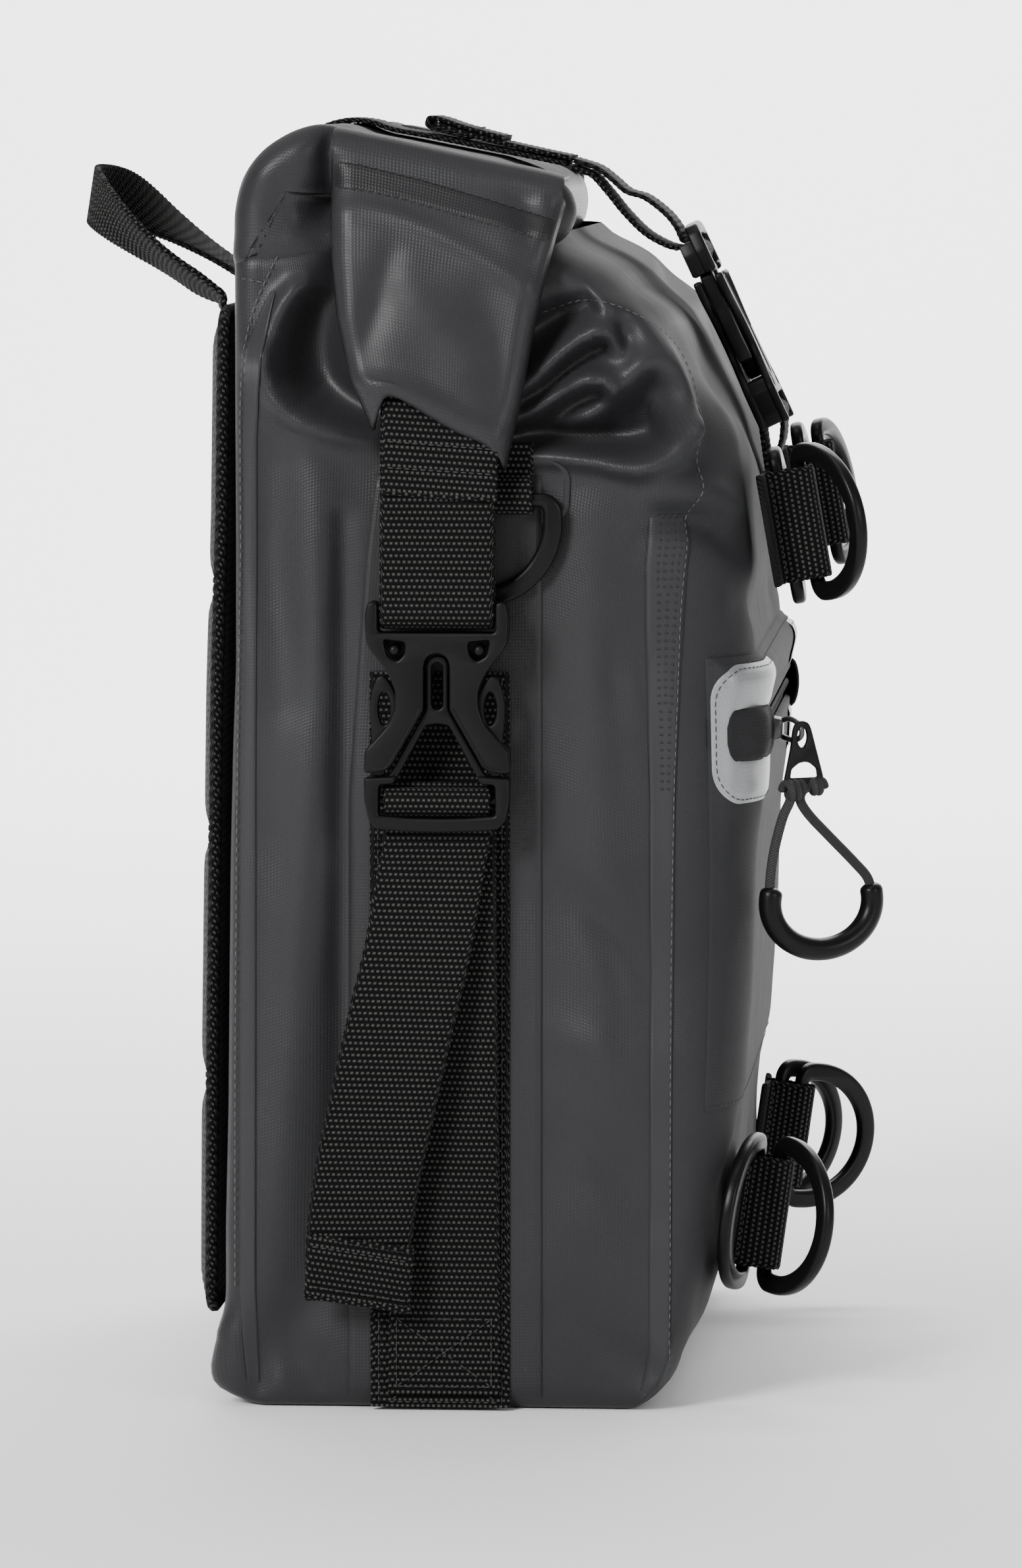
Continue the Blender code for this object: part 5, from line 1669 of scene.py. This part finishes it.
def make_slider():
    left, right = 108.2, 113.4
    shell = [(left, -4.2), (113.2, -3.2), (right, 3.2), (left, 4.2)]
    slide = Matrix.Translation((0, SLIDER_Y * MM, ZIP_Z * MM))
    body = moulding("shell", [rounded(shell, 1.4)], -5.5, 5.5, METAL, 1.0, slide)
    hook = [(112.8, -113.0, 230.6), (115.8, -116.0, 231.4), (119.0, -119.0, 229.6)]
    hook += [(119.8, -119.6, 226.4), (117.8, -118.0, 224.4), (115.0, -115.4, 224.6)]
    hook += [(112.6, -113.0, 225.4)]
    bridge = rod("bridge", through(hook, 0.4), 0.95, METAL, 10)
    settle(joined("slider", [body, bridge]), "zip_slider", ["zip_slider"])


def make_pull():
    """The pull tab, and the knotted cord and grip that hang from it, in one upright plane."""
    place = Matrix.Translation(Vector(PULL_TOP) * MM) @ Matrix.Rotation(PULL_TURN, 4, "Z")
    holes = [oval((1.6, -3.9), (2.0, 3.5), 24), rounded(TAB_LOW_HOLE, 0.7)]
    tab = moulding("tab", [rounded(TAB_EDGE, 1.6)] + holes, -0.9, 0.9, PLASTIC, 0.4, place)
    settle(joined("pull_tab", [tab]), "zip_tab", ["zip_pull_tab"])

    bend = arc((9.3, -60), (19.6, 16.2), 168, 372, 60)
    flat = list(CORD_BACK) + bend[2:-2] + list(CORD_FRONT)
    world = np.array([moved(place, (x, 0, z)) for x, z in flat])
    route = through(world, 0.6)
    loop = rod("pull_cord", route, 1.7, CORD, 14)
    knots = []
    for x, z, radius, width in KNOTS:
        coil = []
        for share in np.linspace(0, 1, 90):
            t = share * 5 * math.pi
            spot = (x + width * (share - 0.5), radius * math.cos(t), z + radius * math.sin(t))
            coil.append(moved(place, spot))
        knots.append(rod("knot", np.array(coil), 1.5, CORD, 10))
    knot = settle(joined("pull_knots", knots), "zip_pull")
    grip_path = np.array([moved(place, (x, 0, z)) for x, z in bend])
    grip = rod("grip", grip_path, 3.9, RING_PLASTIC, 24)
    grip = settle(joined("pull_grip", [grip]), "zip_pull", ["zip_pull_grip"])
    settle(loop, "zip_pull", ["zip_pull_cord"])


# ---- CAD pieces that stay as they are ----


def board_material():
    """Stiff black board."""
    n = Nodes("board")
    colour = n.mix(n.noise(60.0, 4.0), (0.03, 0.03, 0.031), (0.05, 0.05, 0.052))
    return n.finish(colour, 0.62, n.bump(n.noise(700.0, 2.0), 0.0001, 0.3))


def finish_boards():
    finish = board_material()
    for node in ("base_board", "back_board", "roll_stiffener"):
        obj = bpy.data.objects[node]
        obj.data.materials.clear()
        obj.data.materials.append(finish)


# ---- Studio ----


def stage_scene():
    """A white studio: a pale floor that sweeps up into a wall far behind, and soft boxes."""
    reach, wall, wall_top, turn = 7.0, 4.0, 5.0, 1.5
    section = [(-reach, 0.0), (0.0, 0.0), (wall - turn, 0.0)]
    for t in np.linspace(0.1, math.pi / 2, 16):
        section.append((wall - turn + turn * math.sin(t), turn - turn * math.cos(t)))
    section.append((wall, wall_top))
    rows = [[(x / MM, y / MM, z / MM - 0.6) for x in (-reach, reach)] for y, z in section]
    white = Nodes("studio_white").finish((0.94, 0.94, 0.94), 0.9, Specular_IOR_Level=0.1)
    object_from(grid_mesh("studio_sweep", rows), white)

    world = bpy.data.worlds.new("studio")
    world.use_nodes = True
    background = world.node_tree.nodes["Background"]
    background.inputs["Color"].default_value = (1, 1, 1, 1)
    background.inputs["Strength"].default_value = WORLD_STRENGTH
    bpy.context.scene.world = world

    for name, place, aim, size, power in STUDIO_LIGHTS:
        data = bpy.data.lights.new(name, "AREA")
        data.shape = "SQUARE"
        data.size = size
        data.energy = power
        light = object_from(data)
        light.location = place
        light.rotation_euler = (Vector(aim) - Vector(place)).to_track_quat("-Z", "Y").to_euler()

    data = bpy.data.cameras.new("camera")
    data.lens = CAMERA_LENS
    data.sensor_width = 36
    data.clip_end = 50
    camera = object_from(data)
    flat = math.cos(CAMERA_ELEVATION)
    across, back = math.sin(CAMERA_AZIMUTH) * flat, math.cos(CAMERA_AZIMUTH) * flat
    away = Vector((across, -back, math.sin(CAMERA_ELEVATION)))
    camera.location = CAMERA_TARGET + away * CAMERA_DISTANCE
    camera.rotation_euler = (-away).to_track_quat("-Z", "Y").to_euler()
    bpy.context.scene.camera = camera


stage_scene()
make_slider()
make_pull()
make_body()
make_roll()
make_top_strap()
make_rings()
make_pad()
make_binding()
make_handle()
make_pocket()
make_buckle("front", front_buckle_matrix(), "roll")
for side in (RIGHT, LEFT):
    make_flap(side)
    make_webbing_panel(side)
    make_anchor(side)
    make_tail(side)
    make_upper_strap(side)
    make_ring_tab(side)
    make_reflector(side)
    make_garage(side)
    make_buckle(SIDE_NAMES[side], side_buckle_matrix(side), "roll")
finish_boards()
